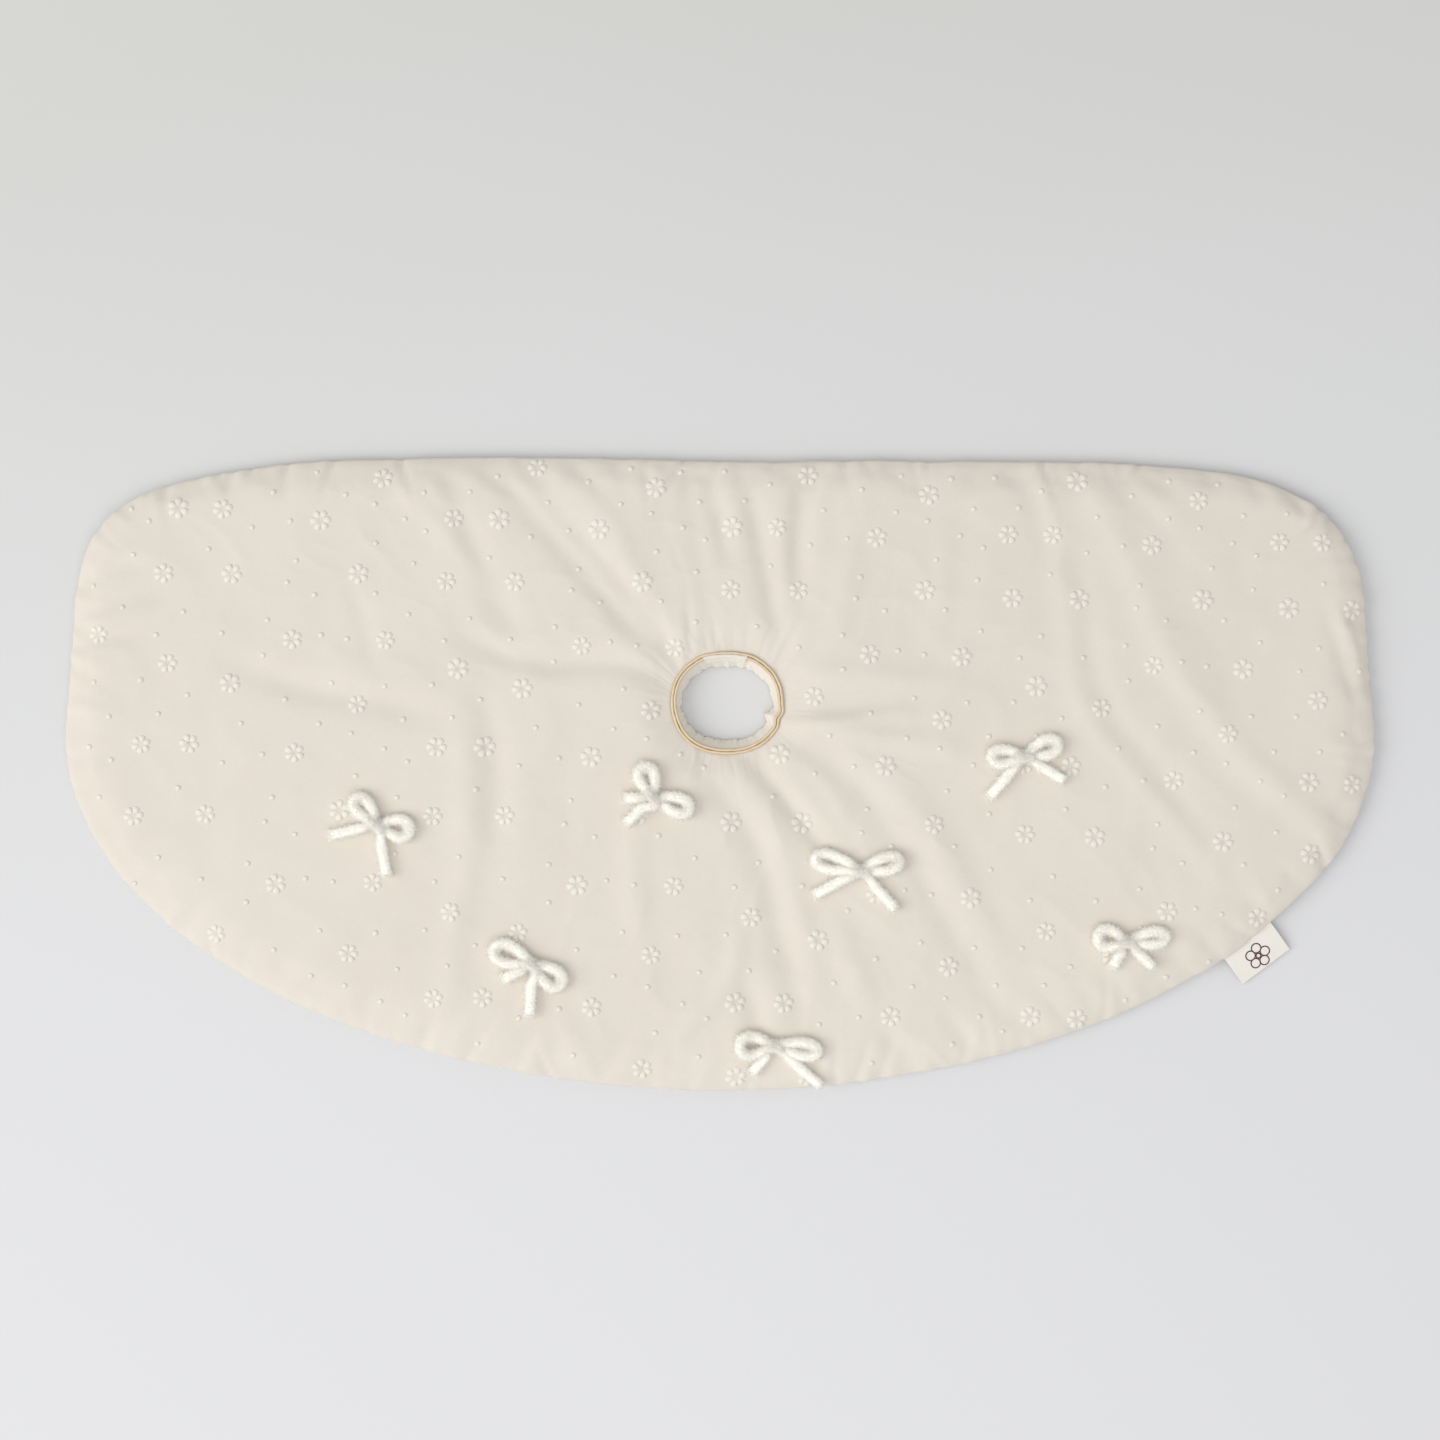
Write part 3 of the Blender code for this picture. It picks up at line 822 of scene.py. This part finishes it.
holeTrim = {
    "ribs": 256,
    "rimHeight": 0.0120,
    "floorHeight": 0.0011,
    "facingTop": -0.0004,
    "facingCloth": 0.0005,
    "gather": 0.0013,
    "gatherScale": 6.4,
    "edgeTatter": 0.0009,
    "foldPlace": -16.0,
    "foldSpread": 7.0,
    "foldPush": 0.0042,
    "lipBase": 0.0123,
    "lipRadius": 0.00098,
    "lipPlace": 0.00102,
    "lipWobble": 0.00022,
    "coreRadius": 0.0004,
    "stitchRadius": 0.00016,
    "joinPlace": 92.0,
    "joinSweep": 52.0,
    "joinCloth": 0.0004,
    "joinProfile": ((-0.0048, 0.0104), (-0.0034, 0.0116), (-0.0025, 0.0132), (-0.0020, 0.0143),
                    (-0.0014, 0.0148), (-0.0008, 0.0149), (-0.0002, 0.0147), (0.0003, 0.0140)),
}


def makeFacing():
    turn = np.linspace(0, 2 * math.pi, holeTrim["ribs"], endpoint=False)
    aim = hole["middle"] + onCircle(turn)
    ringed = onCircle(turn, 0.0)
    gathers = grain(ringed, holeTrim["gatherScale"], 2.2) + 0.6 * grain(ringed, 13.0, 9.4)
    tatter = grain(ringed, 17.0, 4.4)
    away = turnedAway(np.degrees(turn), holeTrim["foldPlace"])
    tuck = bell(away / holeTrim["foldSpread"]) * holeTrim["foldPush"]
    rim = holeLine(aim, hole["rim"], holeTrim["facingTop"])
    foot = holeLine(aim, hole["opening"])
    towards = unit(hole["middle"] - foot)
    drop = holeTrim["rimHeight"] - holeTrim["floorHeight"]
    rings = [withHeight(rim, holeTrim["rimHeight"] - 0.0002)]
    for share in (0.06, 0.16, 0.28, 0.41, 0.54, 0.67, 0.79, 0.89, 0.96, 1.0):
        line = rim * (1 - share ** 0.8) + foot * share ** 0.8
        push = gathers * holeTrim["gather"] * share ** 0.7
        push = push + tatter * holeTrim["edgeTatter"] * share ** 3 + tuck * math.sin(share * 2.2)
        rings.append(withHeight(line + towards * push[:, None],
                                holeTrim["rimHeight"] + 0.0001 - drop * share ** 1.25))
    for outward in (0.0022, 0.0046, 0.0068):
        rings.append(withHeight(holeLine(aim, hole["opening"], outward), holeTrim["floorHeight"]))
    piece = loftedPiece("holeFacing", rings)
    applyModifier(piece, "SUBSURF", levels=1, render_levels=1)
    applyModifier(piece, "SOLIDIFY", thickness=holeTrim["facingCloth"], offset=-1.0)
    smoothShade(piece)
    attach(piece, "skirt")
    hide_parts("hole_facing")
    return piece


def ringTube(name, side, radius, height, replaced, wobble=0.0):
    # A torus drawn onto the hole's outline, a little uneven as hand-sewn piping is
    piece = startPiece(name, bpy.ops.mesh.primitive_torus_add, major_segments=holeTrim["ribs"],
                       minor_segments=12, major_radius=1.0, minor_radius=radius)
    points = pointsOf(piece.data)
    reach = np.hypot(points[:, 0], points[:, 1])
    heading = points[:, :2] / reach[:, None]
    spots = holeLine(hole["middle"] + heading, hole["rim"], side)
    ringed = withHeight(heading, 0.0)
    uneven = wobble * grain(ringed, 7.0, side * 3000)
    outward = (reach - 1.0 + uneven)[:, None]
    lifted = points[:, 2] + height + wobble * grain(ringed, 5.0, 6.0)
    setPoints(piece.data, withHeight(spots + heading * outward, lifted))
    # Height round each tube's small circle, used to paint a highlight on the piping's top and shade on
    # its sides
    storeValues(piece, "lipRise", points[:, 2] / radius)
    smoothShade(piece)
    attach(piece, "skirt")
    if replaced:
        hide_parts(replaced)
    return piece


def makePiping():
    height = holeTrim["lipBase"] + holeTrim["lipRadius"]
    lips = []
    for side in (1, -1):
        lips.append(ringTube("pipingLip", side * holeTrim["lipPlace"], holeTrim["lipRadius"], height,
                             None, holeTrim["lipWobble"]))
    for lip in lips:
        lip.parent = None
    sleeve = joinPieces(lips, "satinPiping")
    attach(sleeve, "skirt")
    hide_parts("piping_sleeve")
    stitch = ringTube("pipingStitch", 0.0, holeTrim["stitchRadius"], height + 0.00025,
                      "piping_stitch")
    outer = ringTube("pipingCoreOuter", holeTrim["lipPlace"], holeTrim["coreRadius"], height,
                     "piping_core_outer")
    inner = ringTube("pipingCoreInner", -holeTrim["lipPlace"], holeTrim["coreRadius"], height,
                     "piping_core_inner")
    return sleeve, stitch, outer, inner


def makeJoin():
    # A strip of the facing turned up over the inner lip where the piping's ends meet
    piece = startPiece("pipingJoin", bpy.ops.mesh.primitive_grid_add, x_subdivisions=40,
                       y_subdivisions=10, size=1.0)
    points = pointsOf(piece.data)
    heading = onCircle(np.radians(holeTrim["joinPlace"] - points[:, 0] * holeTrim["joinSweep"]))
    reach, rise = zip(*holeTrim["joinProfile"])
    grow = np.interp(points[:, 1] + 0.5, np.linspace(0, 1, len(reach)), reach)
    height = np.interp(points[:, 1] + 0.5, np.linspace(0, 1, len(rise)), rise)
    ringed = withHeight(heading, points[:, 1])
    grow += 0.0003 * grain(ringed, 14.0, 3.0)
    height += 0.00012 * grain(ringed, 18.0, 5.0)
    spots = holeLine(hole["middle"] + heading, hole["rim"]) + heading * grow[:, None]
    setPoints(piece.data, withHeight(spots, height))
    applyModifier(piece, "SOLIDIFY", thickness=holeTrim["joinCloth"], offset=-1.0)
    applyModifier(piece, "SUBSURF", levels=1, render_levels=1)
    smoothShade(piece)
    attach(piece, "skirt")
    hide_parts("piping_join_tab")
    return piece


facingPiece = makeFacing()
pipingPiece, stitchPiece, coreOuterPiece, coreInnerPiece = makePiping()
joinPiece = makeJoin()
print("hole trimmed")


# Label: a folded tape, laid out from its hinge where it leaves the seam

label = {
    "hinge": Vector(frame["joints"][0]["pos_m"]),
    "out": Vector((0.5966084, -0.8025325, 0.0)),
    "length": 0.041,
    "reach": 0.021,
    "root": 0.0030,
    "tape": 0.0004,
    "gap": 0.00052,
    "droop": 8.0,
    "slip": 0.0011,
    "curl": 0.0008,
    "markSize": 0.0056,
    "markThread": 0.00046,
}


def labelSpot(out, side, up):
    droop = math.radians(label["droop"])
    along = Vector((-label["out"].y, label["out"].x, 0))
    reach = max(out, 0.0)
    flat = out if out < 0 else out * math.cos(droop)
    drop = reach * math.sin(droop)
    lift = label["curl"] * math.sin(reach / label["reach"] * math.pi) * 0.6
    return label["hinge"] + label["out"] * flat + along * side + Vector((0, 0, up - drop + lift))


def makeLabel():
    piece = startPiece("labelTape", bpy.ops.mesh.primitive_grid_add, x_subdivisions=64,
                       y_subdivisions=20, size=1.0)
    straight = label["reach"] + label["root"]
    bend = math.pi * label["gap"]
    total = 2 * straight + bend
    placed = []
    for u, v, _ in pointsOf(piece.data):
        travel, side = (u + 0.5) * total, v * label["length"]
        if travel < straight:
            out, up = travel - label["root"], label["gap"]
        elif travel < straight + bend:
            turn = (travel - straight) / label["gap"]
            out = label["reach"] + label["gap"] * math.sin(turn)
            up = label["gap"] * math.cos(turn)
        else:
            out, up = label["reach"] - (travel - straight - bend), -label["gap"]
            side += label["slip"] * (1 - max(out, 0) / label["reach"]) * (0.5 - v)
        placed.append(labelSpot(out, side, up))
    setPoints(piece.data, np.array(placed))
    applyModifier(piece, "SOLIDIFY", thickness=label["tape"], offset=0.0)
    smoothShade(piece, 40)
    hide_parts("label_flap")
    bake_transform(piece)
    return piece


def threadRing(radius, thread, place, turn=(0, 0, 0)):
    ring = startPiece("threadRing", bpy.ops.mesh.primitive_torus_add, major_segments=28,
                      minor_segments=6, major_radius=radius, minor_radius=thread)
    ring.rotation_euler = turn
    ring.location = place
    settle(ring)
    return ring


def makeMark():
    # A plain five-petal flower stitched in brown thread
    rings = []
    spots = [(0.0, 0.0, label["markSize"] * 0.3)]
    for i in range(5):
        turn = math.radians(90 + 72 * i)
        spots.append((math.cos(turn) * label["markSize"], math.sin(turn) * label["markSize"],
                      label["markSize"] * 0.6))
    for x, y, radius in spots:
        rings.append(threadRing(radius, label["markThread"], (x, y, 0)))
    piece = joinPieces(rings, "labelFlower")
    lift = label["gap"] + label["tape"] / 2
    placed = [labelSpot(label["reach"] * 0.54 + x, y, lift + z * 0.7) for x, y, z in pointsOf(piece.data)]
    setPoints(piece.data, np.array(placed))
    smoothShade(piece)
    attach(piece, "label")
    return piece


labelPiece = makeLabel()
markPiece = makeMark()
print("label folded and marked")


# Bows: one fluffy chenille cord each, gathered under a wound silver thread

bow = {
    "cord": 0.0064,
    "pinchStrand": 0.0026,
    "pinchLength": 0.006,
    "pinchSpread": 0.0075,
    "bandRadius": 0.00365,
    "bandThickness": 0.0004,
    "slot": 0.00145,
    "tailTurn": 0.0018,
    "loopSteps": 9,
    "clear": 0.0003,
    "core": 0.98,
    "fuzz": 0.0027,
    "wisps": 0.18,
    "pinchFluff": 0.0022,
    "middleReach": 0.005,
    "fibres": 24000,
    "fibreWidth": 0.00023,
    "threadTurns": 5,
    "threadRadius": 0.00032,
    "seed": 41,
}

# For each bow: right and left loop as angle, length and width; inner and outer tail as angle and length
knots = (
    ((-11, 0.0225, 0.0125), (131, 0.0235, 0.0100), (193, 0.0325), (-80, 0.0350)),
    ((-19, 0.0255, 0.0110), (110, 0.0220, 0.0115), (182, 0.0190), (223, 0.0255)),
    ((14, 0.0275, 0.0095), (165, 0.0320, 0.0105), (208, 0.0355), (-48, 0.0350)),
    ((-8, 0.0300, 0.0095), (182, 0.0240, 0.0135), (232, 0.0240), (-42, 0.0420)),
    ((-34, 0.0235, 0.0120), (158, 0.0290, 0.0130), (206, 0.0220), (266, 0.0340)),
    ((8, 0.0265, 0.0090), (170, 0.0205, 0.0125), (240, 0.0190), (-44, 0.0240)),
    ((22, 0.0245, 0.0110), (181, 0.0225, 0.0100), (229, 0.0360), (-31, 0.0310)),
)


def headed(degrees):
    return np.array([math.cos(math.radians(degrees)), math.sin(math.radians(degrees))])


def bowLine(knot):
    # The cord's own line: tail, right loop, back under the band, left loop, other tail
    right, left, tailIn, tailOut = knot
    axis = (right[0] + left[0] - 180) / 2
    along, across = headed(axis), headed(axis + 90)
    middle = bow["bandRadius"] + bow["bandThickness"]
    lowest, highest = middle - bow["slot"], middle + bow["slot"]

    def loop(heading, length, width):
        turns = math.pi * np.arange(1, bow["loopSteps"] + 1) / (bow["loopSteps"] + 1)
        return [headed(heading) * length * math.sin(turn)
                - headed(heading + 90) * width / 2 * math.sin(2 * turn) for turn in turns]

    def tail(side, heading, length):
        beside = along * side * (bow["pinchLength"] / 2 + bow["tailTurn"]) - across * bow["bandRadius"]
        return [headed(heading) * length * share for share in (1.0, 0.7, 0.42)] + [beside]

    def passage(side, forward):
        ends = [across * side * bow["slot"] - along * bow["pinchLength"] / 2,
                across * side * bow["slot"] + along * bow["pinchLength"] / 2]
        return ends if forward else ends[::-1]

    half = bow["loopSteps"] // 2 + 1
    rightLoop, leftLoop = loop(*right), loop(*left)
    strands = ((tail(-1, *tailIn), lowest), (passage(-1, True), lowest),
               (rightLoop[:half], lowest), (rightLoop[half:], middle),
               (passage(1, False), middle), (leftLoop[:half], middle), (leftLoop[half:], highest),
               (passage(-1, True), highest), (tail(1, *tailOut)[::-1], highest))
    start = math.hypot(bow["pinchLength"] / 2, bow["slot"])
    thin = bow["pinchStrand"] / bow["cord"]
    line = []
    for strand, level in strands:
        for spot in strand:
            share = float(smoothStep((math.hypot(*spot) - start) / bow["pinchSpread"]))
            line.append((*spot, level + (bow["cord"] / 2 - level) * share, thin + (1 - thin) * share))
    return np.array(line), axis


def layOnCloth(line, centre):
    # The line follows the cloth's broad shape and stays above its lumps
    ground = np.array([max(clothTop.at(centre[0] + x, centre[1] + y)[0].z,
                              clothTop.at(centre[0] + x * 1.08, centre[1] + y * 1.08)[0].z)
                          for x, y in line[:, :2]])
    for _ in range(6):
        ground[1:-1] = np.maximum(ground[1:-1], (ground[:-2] + ground[2:]) / 2)
        ground[1:-1] = ground[1:-1] * 0.5 + (ground[:-2] + ground[2:]) * 0.25
    laid = line[:, :3] + np.array([centre[0], centre[1], 0])
    laid[:, 2] += ground + bow["clear"]
    return laid, ground


def frameAlong(line):
    along = unit(np.gradient(line, axis=0))
    side = unit(np.cross(along, (0.0, 0.0, 1.0)))
    return along, side, np.cross(side, along)


def chenilleFibres(line, widths, ground, centre, seed):
    # Thin closed spikes that stand out of the core all round
    dice = np.random.default_rng(seed)
    count = bow["fibres"]
    along, side, up = frameAlong(line)
    weights = 1.7 - 0.7 * widths
    picked = dice.choice(len(line), count, p=weights / weights.sum())
    turn = dice.uniform(0, 2 * math.pi, count)
    outward = side[picked] * np.cos(turn)[:, None] + up[picked] * np.sin(turn)[:, None]
    lean = dice.normal(0, 0.42, count)[:, None] * along[picked]
    lean += dice.normal(0, 0.30, count)[:, None] * np.cross(along[picked], outward)
    atEnd = (picked < 3) | (picked > len(line) - 4)
    endwise = np.where(picked < 3, -1.0, 1.0)[:, None] * along[picked]
    lean += np.where(atEnd[:, None], endwise * dice.uniform(0.2, 2.2, count)[:, None], 0.0)
    aim = unit(outward + lean)
    thick = widths[picked] * bow["cord"] / 2
    root = line[picked] + along[picked] * dice.uniform(-0.5, 0.5, count)[:, None] * 0.0008
    root = root + outward * (thick * bow["core"] * 0.72)[:, None]
    length = thick * (1 - bow["core"] * 0.72)
    length += bow["fuzz"] * (0.75 + 0.25 * widths[picked]) * dice.beta(1.8, 2.4, count)
    length += bow["fuzz"] * dice.uniform(0.2, 1.0, count) * (dice.uniform(0, 1, count) < bow["wisps"])
    fromMiddle = np.hypot(*(line[picked, :2] - centre).T)
    length += bow["pinchFluff"] * bell(fromMiddle / bow["middleReach"]) * dice.uniform(0.2, 1, count)
    length += bow["fuzz"] * 0.5 * atEnd * dice.uniform(0, 1, count)
    tip = root + aim * length[:, None]
    lowest = ground[picked] + 0.0002
    root[:, 2] = np.maximum(root[:, 2], lowest + 0.0002)
    tip[:, 2] = np.maximum(tip[:, 2], lowest)
    spin = unit(np.cross(aim, dice.normal(0, 1, (count, 3))))
    turned = np.cross(aim, spin)
    wide = bow["fibreWidth"]
    corners = [root + (spin * math.cos(a) + turned * math.sin(a)) * wide for a in (0, 2.0944, 4.1888)]
    points = np.stack([*corners, tip], axis=1).reshape(-1, 3)
    first = np.arange(count)[:, None] * 4
    faces = np.concatenate([first + np.array(face) for face in
                               ((0, 2, 1), (0, 1, 3), (1, 2, 3), (2, 0, 3))])
    return newPiece("chenilleFibres", points, [tuple(face) for face in faces.tolist()])


def cordCore(line, widths):
    curve = bpy.data.curves.new("chenilleCore", "CURVE")
    curve.dimensions = "3D"
    curve.bevel_depth = bow["cord"] / 2 * bow["core"]
    curve.bevel_resolution = 3
    curve.use_fill_caps = True
    spline = curve.splines.new("POLY")
    spline.points.add(len(line) - 1)
    for point, spot, width in zip(spline.points, line, widths):
        point.co = (*spot, 1)
        point.radius = width
    core = bpy.data.objects.new("chenilleCore", curve)
    scene.collection.objects.link(core)
    makeActive(core)
    bpy.ops.object.convert(target="MESH")
    core = bpy.context.object
    points, normals = pointsOf(core.data), normalsOf(core.data)
    lumps = grain(points, 620.0, 2.0) * 0.00022
    setPoints(core.data, points + normals * lumps[:, None])
    return core


def makeBow(number, knot):
    lowest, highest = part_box(f"bow_{number}_band")
    centre = ((lowest.x + highest.x) / 2, (lowest.y + highest.y) / 2)
    line, axis = bowLine(knot)
    line = curved(line, 6)
    laid, ground = layOnCloth(line, centre)
    widths = line[:, 3]
    core = cordCore(laid, widths)
    fibres = chenilleFibres(laid, widths, ground, centre, bow["seed"] + number)
    piece = joinPieces([core, fibres], f"bow{number}")
    smoothShade(piece)
    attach(piece, "skirt")
    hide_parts(f"bow_{number}_cord")
    near = np.hypot(line[:, 0], line[:, 1]) < bow["middleReach"]
    return piece, makeBand(number, centre, axis, float(ground[near].mean()))


def makeBand(number, centre, axis, ground):
    # Silver thread wound side by side round the middle
    dice = random.Random(bow["seed"] * number)
    turns = []
    radius = bow["bandRadius"] + bow["threadRadius"]
    height = ground + bow["clear"] + bow["bandRadius"] + bow["bandThickness"]
    for i in range(bow["threadTurns"]):
        place = (i - (bow["threadTurns"] - 1) / 2) * bow["threadRadius"] * 2.3
        tilt = (dice.uniform(-0.06, 0.06), math.pi / 2 + dice.uniform(-0.09, 0.09),
                math.radians(axis) + dice.uniform(-0.05, 0.05))
        along = headed(axis) * place
        middle = (centre[0] + along[0], centre[1] + along[1], height)
        turns.append(threadRing(radius, bow["threadRadius"], middle, tilt))
    piece = joinPieces(turns, f"bowBand{number}")
    smoothShade(piece)
    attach(piece, "skirt")
    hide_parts(f"bow_{number}_band")
    return piece


bowPieces, bandPieces = [], []
for number, knot in enumerate(knots, 1):
    bowPiece, bandPiece = makeBow(number, knot)
    bowPieces.append(bowPiece)
    bandPieces.append(bandPiece)
print("tied", len(bowPieces), "bows")


# Finishes


class Flow:
    # A shader socket that takes part in Python arithmetic
    def __init__(self, tree, socket=None):
        self.tree = tree
        self.socket = socket

    def node(self, kind, settings=None, inputs=None, output=0):
        made = self.tree.nodes.new("ShaderNode" + kind)
        for name, value in (settings or {}).items():
            if name == "stops":
                for place, _ in value[1:-1]:
                    made.color_ramp.elements.new(place)
                for element, (place, colour) in zip(made.color_ramp.elements, value):
                    element.position = place
                    element.color = (*colour, 1)
            else:
                setattr(made, name, value)
        for name, value in (inputs or {}).items():
            if isinstance(value, Flow):
                self.tree.links.new(value.socket, made.inputs[name])
            else:
                made.inputs[name].default_value = value
        return Flow(self.tree, made.outputs[output])

    def maths(self, operation, first, second=0.0):
        return self.node("Math", {"operation": operation}, {0: first, 1: second})

    def __add__(self, other):
        return self.maths("ADD", self, other)

    def __sub__(self, other):
        return self.maths("SUBTRACT", self, other)

    def __mul__(self, other):
        return self.maths("MULTIPLY", self, other)

    def sine(self):
        return self.maths("SINE", self)

    def limited(self):
        return self.node("Math", {"operation": "ADD", "use_clamp": True}, {0: self, 1: 0.0})

    def between(self, first, second):
        return self.node("Mix", {"data_type": "RGBA"},
                         {0: self, 6: (*first, 1), 7: (*second, 1)}, output=2)

    def blotches(self, place, scale, detail=2.0):
        return self.node("TexNoise", None, {"Vector": place, "Scale": scale, "Detail": detail,
                                            "Roughness": 0.5})


def newFinish(name, fixed):
    finish = bpy.data.materials.new(name)
    finish.use_nodes = True
    shader = finish.node_tree.nodes["Principled BSDF"]
    for socket, value in fixed.items():
        shader.inputs[socket].default_value = value
    flow = Flow(finish.node_tree)
    return finish, flow, shader, flow.node("TexCoord", output=3)


def feed(flow, shader, socket):
    flow.tree.links.new(flow.socket, shader.inputs[socket])


def emboss(flow, shader, strength, distance, height):
    feed(flow.node("Bump", None, {"Strength": strength, "Distance": distance, "Height": height}),
         shader, "Normal")


def acrossAndAlong(flow, place):
    parts = flow.node("SeparateXYZ", None, {0: place}).socket.node
    return Flow(flow.tree, parts.outputs[0]), Flow(flow.tree, parts.outputs[1])


def weaveOf(flow, place, thread):
    # Over-and-under threads, drawn slightly unevenly
    drift = (flow.blotches(place, 90.0) - 0.5) * (thread * 1.6)
    x, y = acrossAndAlong(flow, place)
    turn = 2 * math.pi / thread
    return ((x + drift) * turn).sine() * ((y + drift) * turn).sine()


def clothFinish(name, light, shade, thread, weaveDepth, rumple):
    finish, flow, shader, place = newFinish(name, {
        "Roughness": 0.92, "Sheen Weight": 0.25, "Sheen Roughness": 0.55, "Specular IOR Level": 0.25})
    weave = weaveOf(flow, place, thread)
    blotch = flow.blotches(place, 13.0, 3.0)
    fine = flow.blotches(place, 420.0, 1.0)
    tone = ((blotch - 0.5) * 0.9 + (fine - 0.5) * 0.5 + weave * 0.10 + 0.5).limited()
    feed(tone.between(shade, light), shader, "Base Color")
    wrinkles = flow.node("Bump", None, {"Strength": rumple, "Distance": 0.0009,
                                        "Height": flow.blotches(place, 75.0, 4.0)})
    bump = flow.node("Bump", None, {"Strength": weaveDepth, "Distance": 0.00012,
                                    "Height": weave, "Normal": wrinkles})
    feed(bump, shader, "Normal")
    return finish


def embroideryFinish():
    finish, flow, shader, place = newFinish("ivoryStitches", {
        "Roughness": 0.62, "Sheen Weight": 0.3, "Specular IOR Level": 0.4})
    turn = flow.node("Attribute", {"attribute_name": "stitchTurn"}, None, output=2)
    threads = 46
    strands = (turn * (2 * math.pi * threads)).sine() * 0.5 + flow.blotches(place, 900.0, 1.0)
    # Painted shade and highlight by height: low rims and gaps between petals are coloured darker than the
    # cloth and crests lighter, with the stitch lines mixed in as the thread's own pattern
    crest = flow.node("Attribute", {"attribute_name": "stitchCrest"}, None, output=2)
    feed((strands * 0.3 + crest * 0.62).limited().between((0.72, 0.655, 0.565), (0.925, 0.885, 0.805)),
         shader, "Base Color")
    emboss(flow, shader, 0.25, 0.0001, strands)
    return finish


def satinFinish():
    finish, flow, shader, place = newFinish("tanSatin", {
        "Roughness": 0.36, "Sheen Weight": 0.1, "Specular IOR Level": 0.6})
    streaks = flow.blotches(place, 260.0, 3.0)
    # Painted highlight and shade: the lips are coloured pale gold on top and dark tan on their sides and
    # underside, by height round the lip
    rise = flow.node("Attribute", {"attribute_name": "lipRise"}, None, output=2)
    tone = (rise * 0.75 + (streaks - 0.5) * 0.5 + 0.12).limited()
    feed(tone.between((0.46, 0.28, 0.12), (0.86, 0.72, 0.50)), shader, "Base Color")
    emboss(flow, shader, 0.35, 0.0003, streaks)
    return finish


def threadFinish(name, light, dark, roughness, metallic=0.0):
    finish, flow, shader, place = newFinish(name, {"Roughness": roughness, "Metallic": metallic})
    x, y = acrossAndAlong(flow, place)
    pitch = 0.0007
    twist = ((x + y) * (2 * math.pi / pitch)).sine() * 0.5 + 0.5
    feed(twist.between(dark, light), shader, "Base Color")
    emboss(flow, shader, 0.5, 0.0001, twist)
    return finish


def chenilleFinish():
    # Painted light: a small warm emission makes the chenille glow, standing in for light scattered
    # through the fluff and lifting its shaded parts
    finish, flow, shader, place = newFinish("ivoryChenille", {
        "Roughness": 0.95, "Sheen Weight": 0.6, "Sheen Roughness": 0.5, "Specular IOR Level": 0.15,
        "Emission Strength": 0.19, "Emission Color": (0.97, 0.94, 0.86, 1)})
    tuft = flow.blotches(place, 700.0, 2.0)
    feed(tuft.between((0.915, 0.89, 0.815), (0.965, 0.948, 0.885)), shader, "Base Color")
    emboss(flow, shader, 0.3, 0.0004, tuft)
    return finish


def waddingFinish():
    finish, flow, shader, place = newFinish("whiteWadding", {
        "Roughness": 1.0, "Specular IOR Level": 0.1})
    lumps = flow.blotches(place, 60.0, 5.0)
    feed(lumps.between((0.80, 0.80, 0.78), (0.92, 0.92, 0.90)), shader, "Base Color")
    emboss(flow, shader, 0.8, 0.002, lumps)
    return finish


def labelFinish():
    finish, flow, shader, place = newFinish("wovenTape", {"Roughness": 0.78, "Specular IOR Level": 0.3})
    weave = weaveOf(flow, place, 0.0006)
    feed((weave * 0.25 + 0.6).limited().between((0.88, 0.825, 0.745), (0.945, 0.905, 0.84)),
         shader, "Base Color")
    emboss(flow, shader, 0.4, 0.0001, weave)
    return finish


def floorFinish():
    finish, flow, shader, place = newFinish("palePaper", {"Roughness": 0.85, "Specular IOR Level": 0.2})
    # Painted shade: the floor colour darkens towards the top and a little towards the left, standing in
    # for uneven light across the floor
    x, y = acrossAndAlong(flow, place)
    fade = (y - x * 0.12 + 0.46 + (flow.blotches(place, 1.6, 2.0) - 0.5) * 0.2).limited()
    feed((fade * fade).between((0.770, 0.768, 0.780), (0.70, 0.702, 0.672)), shader, "Base Color")
    return finish


def dress(pieces, finish):
    for piece in pieces:
        piece.data.materials.clear()
        piece.data.materials.append(finish)


ivoryCotton = clothFinish("ivoryCotton", (0.825, 0.762, 0.674), (0.775, 0.707, 0.615), 0.0009, 0.35, 0.25)
plainLining = clothFinish("plainLining", (0.85, 0.82, 0.75), (0.80, 0.76, 0.69), 0.0008, 0.35, 0.2)
facingCotton = clothFinish("facingCotton", (0.90, 0.85, 0.755), (0.85, 0.79, 0.69), 0.0007, 0.35, 0.35)
sewingThread = threadFinish("sewingThread", (0.55, 0.42, 0.26), (0.30, 0.21, 0.12), 0.6)
brownThread = threadFinish("brownThread", (0.14, 0.055, 0.045), (0.07, 0.025, 0.022), 0.6)
silverThread = threadFinish("silverThread", (0.92, 0.91, 0.87), (0.66, 0.64, 0.60), 0.45, 0.2)

dress([facePiece], ivoryCotton)
dress([backingPiece], plainLining)
dress([facingPiece, joinPiece], facingCotton)
dress([flowersPiece, dotsPiece], embroideryFinish())
dress([pipingPiece], satinFinish())
dress([stitchPiece, frame["nodes"]["perimeter_seam_thread"]], sewingThread)
dress([coreOuterPiece, coreInnerPiece, waddingPiece], waddingFinish())
dress([labelPiece, frame["nodes"]["label_root"]], labelFinish())
dress([markPiece], brownThread)
dress(bowPieces, chenilleFinish())
dress(bandPieces, silverThread)
print("finishes are on")


# Floor

floorPiece = startPiece("paleFloor", bpy.ops.mesh.primitive_plane_add, size=studio["floorSize"],
                        location=(0, 0, -0.0004))
settle(floorPiece)
dress([floorPiece], floorFinish())
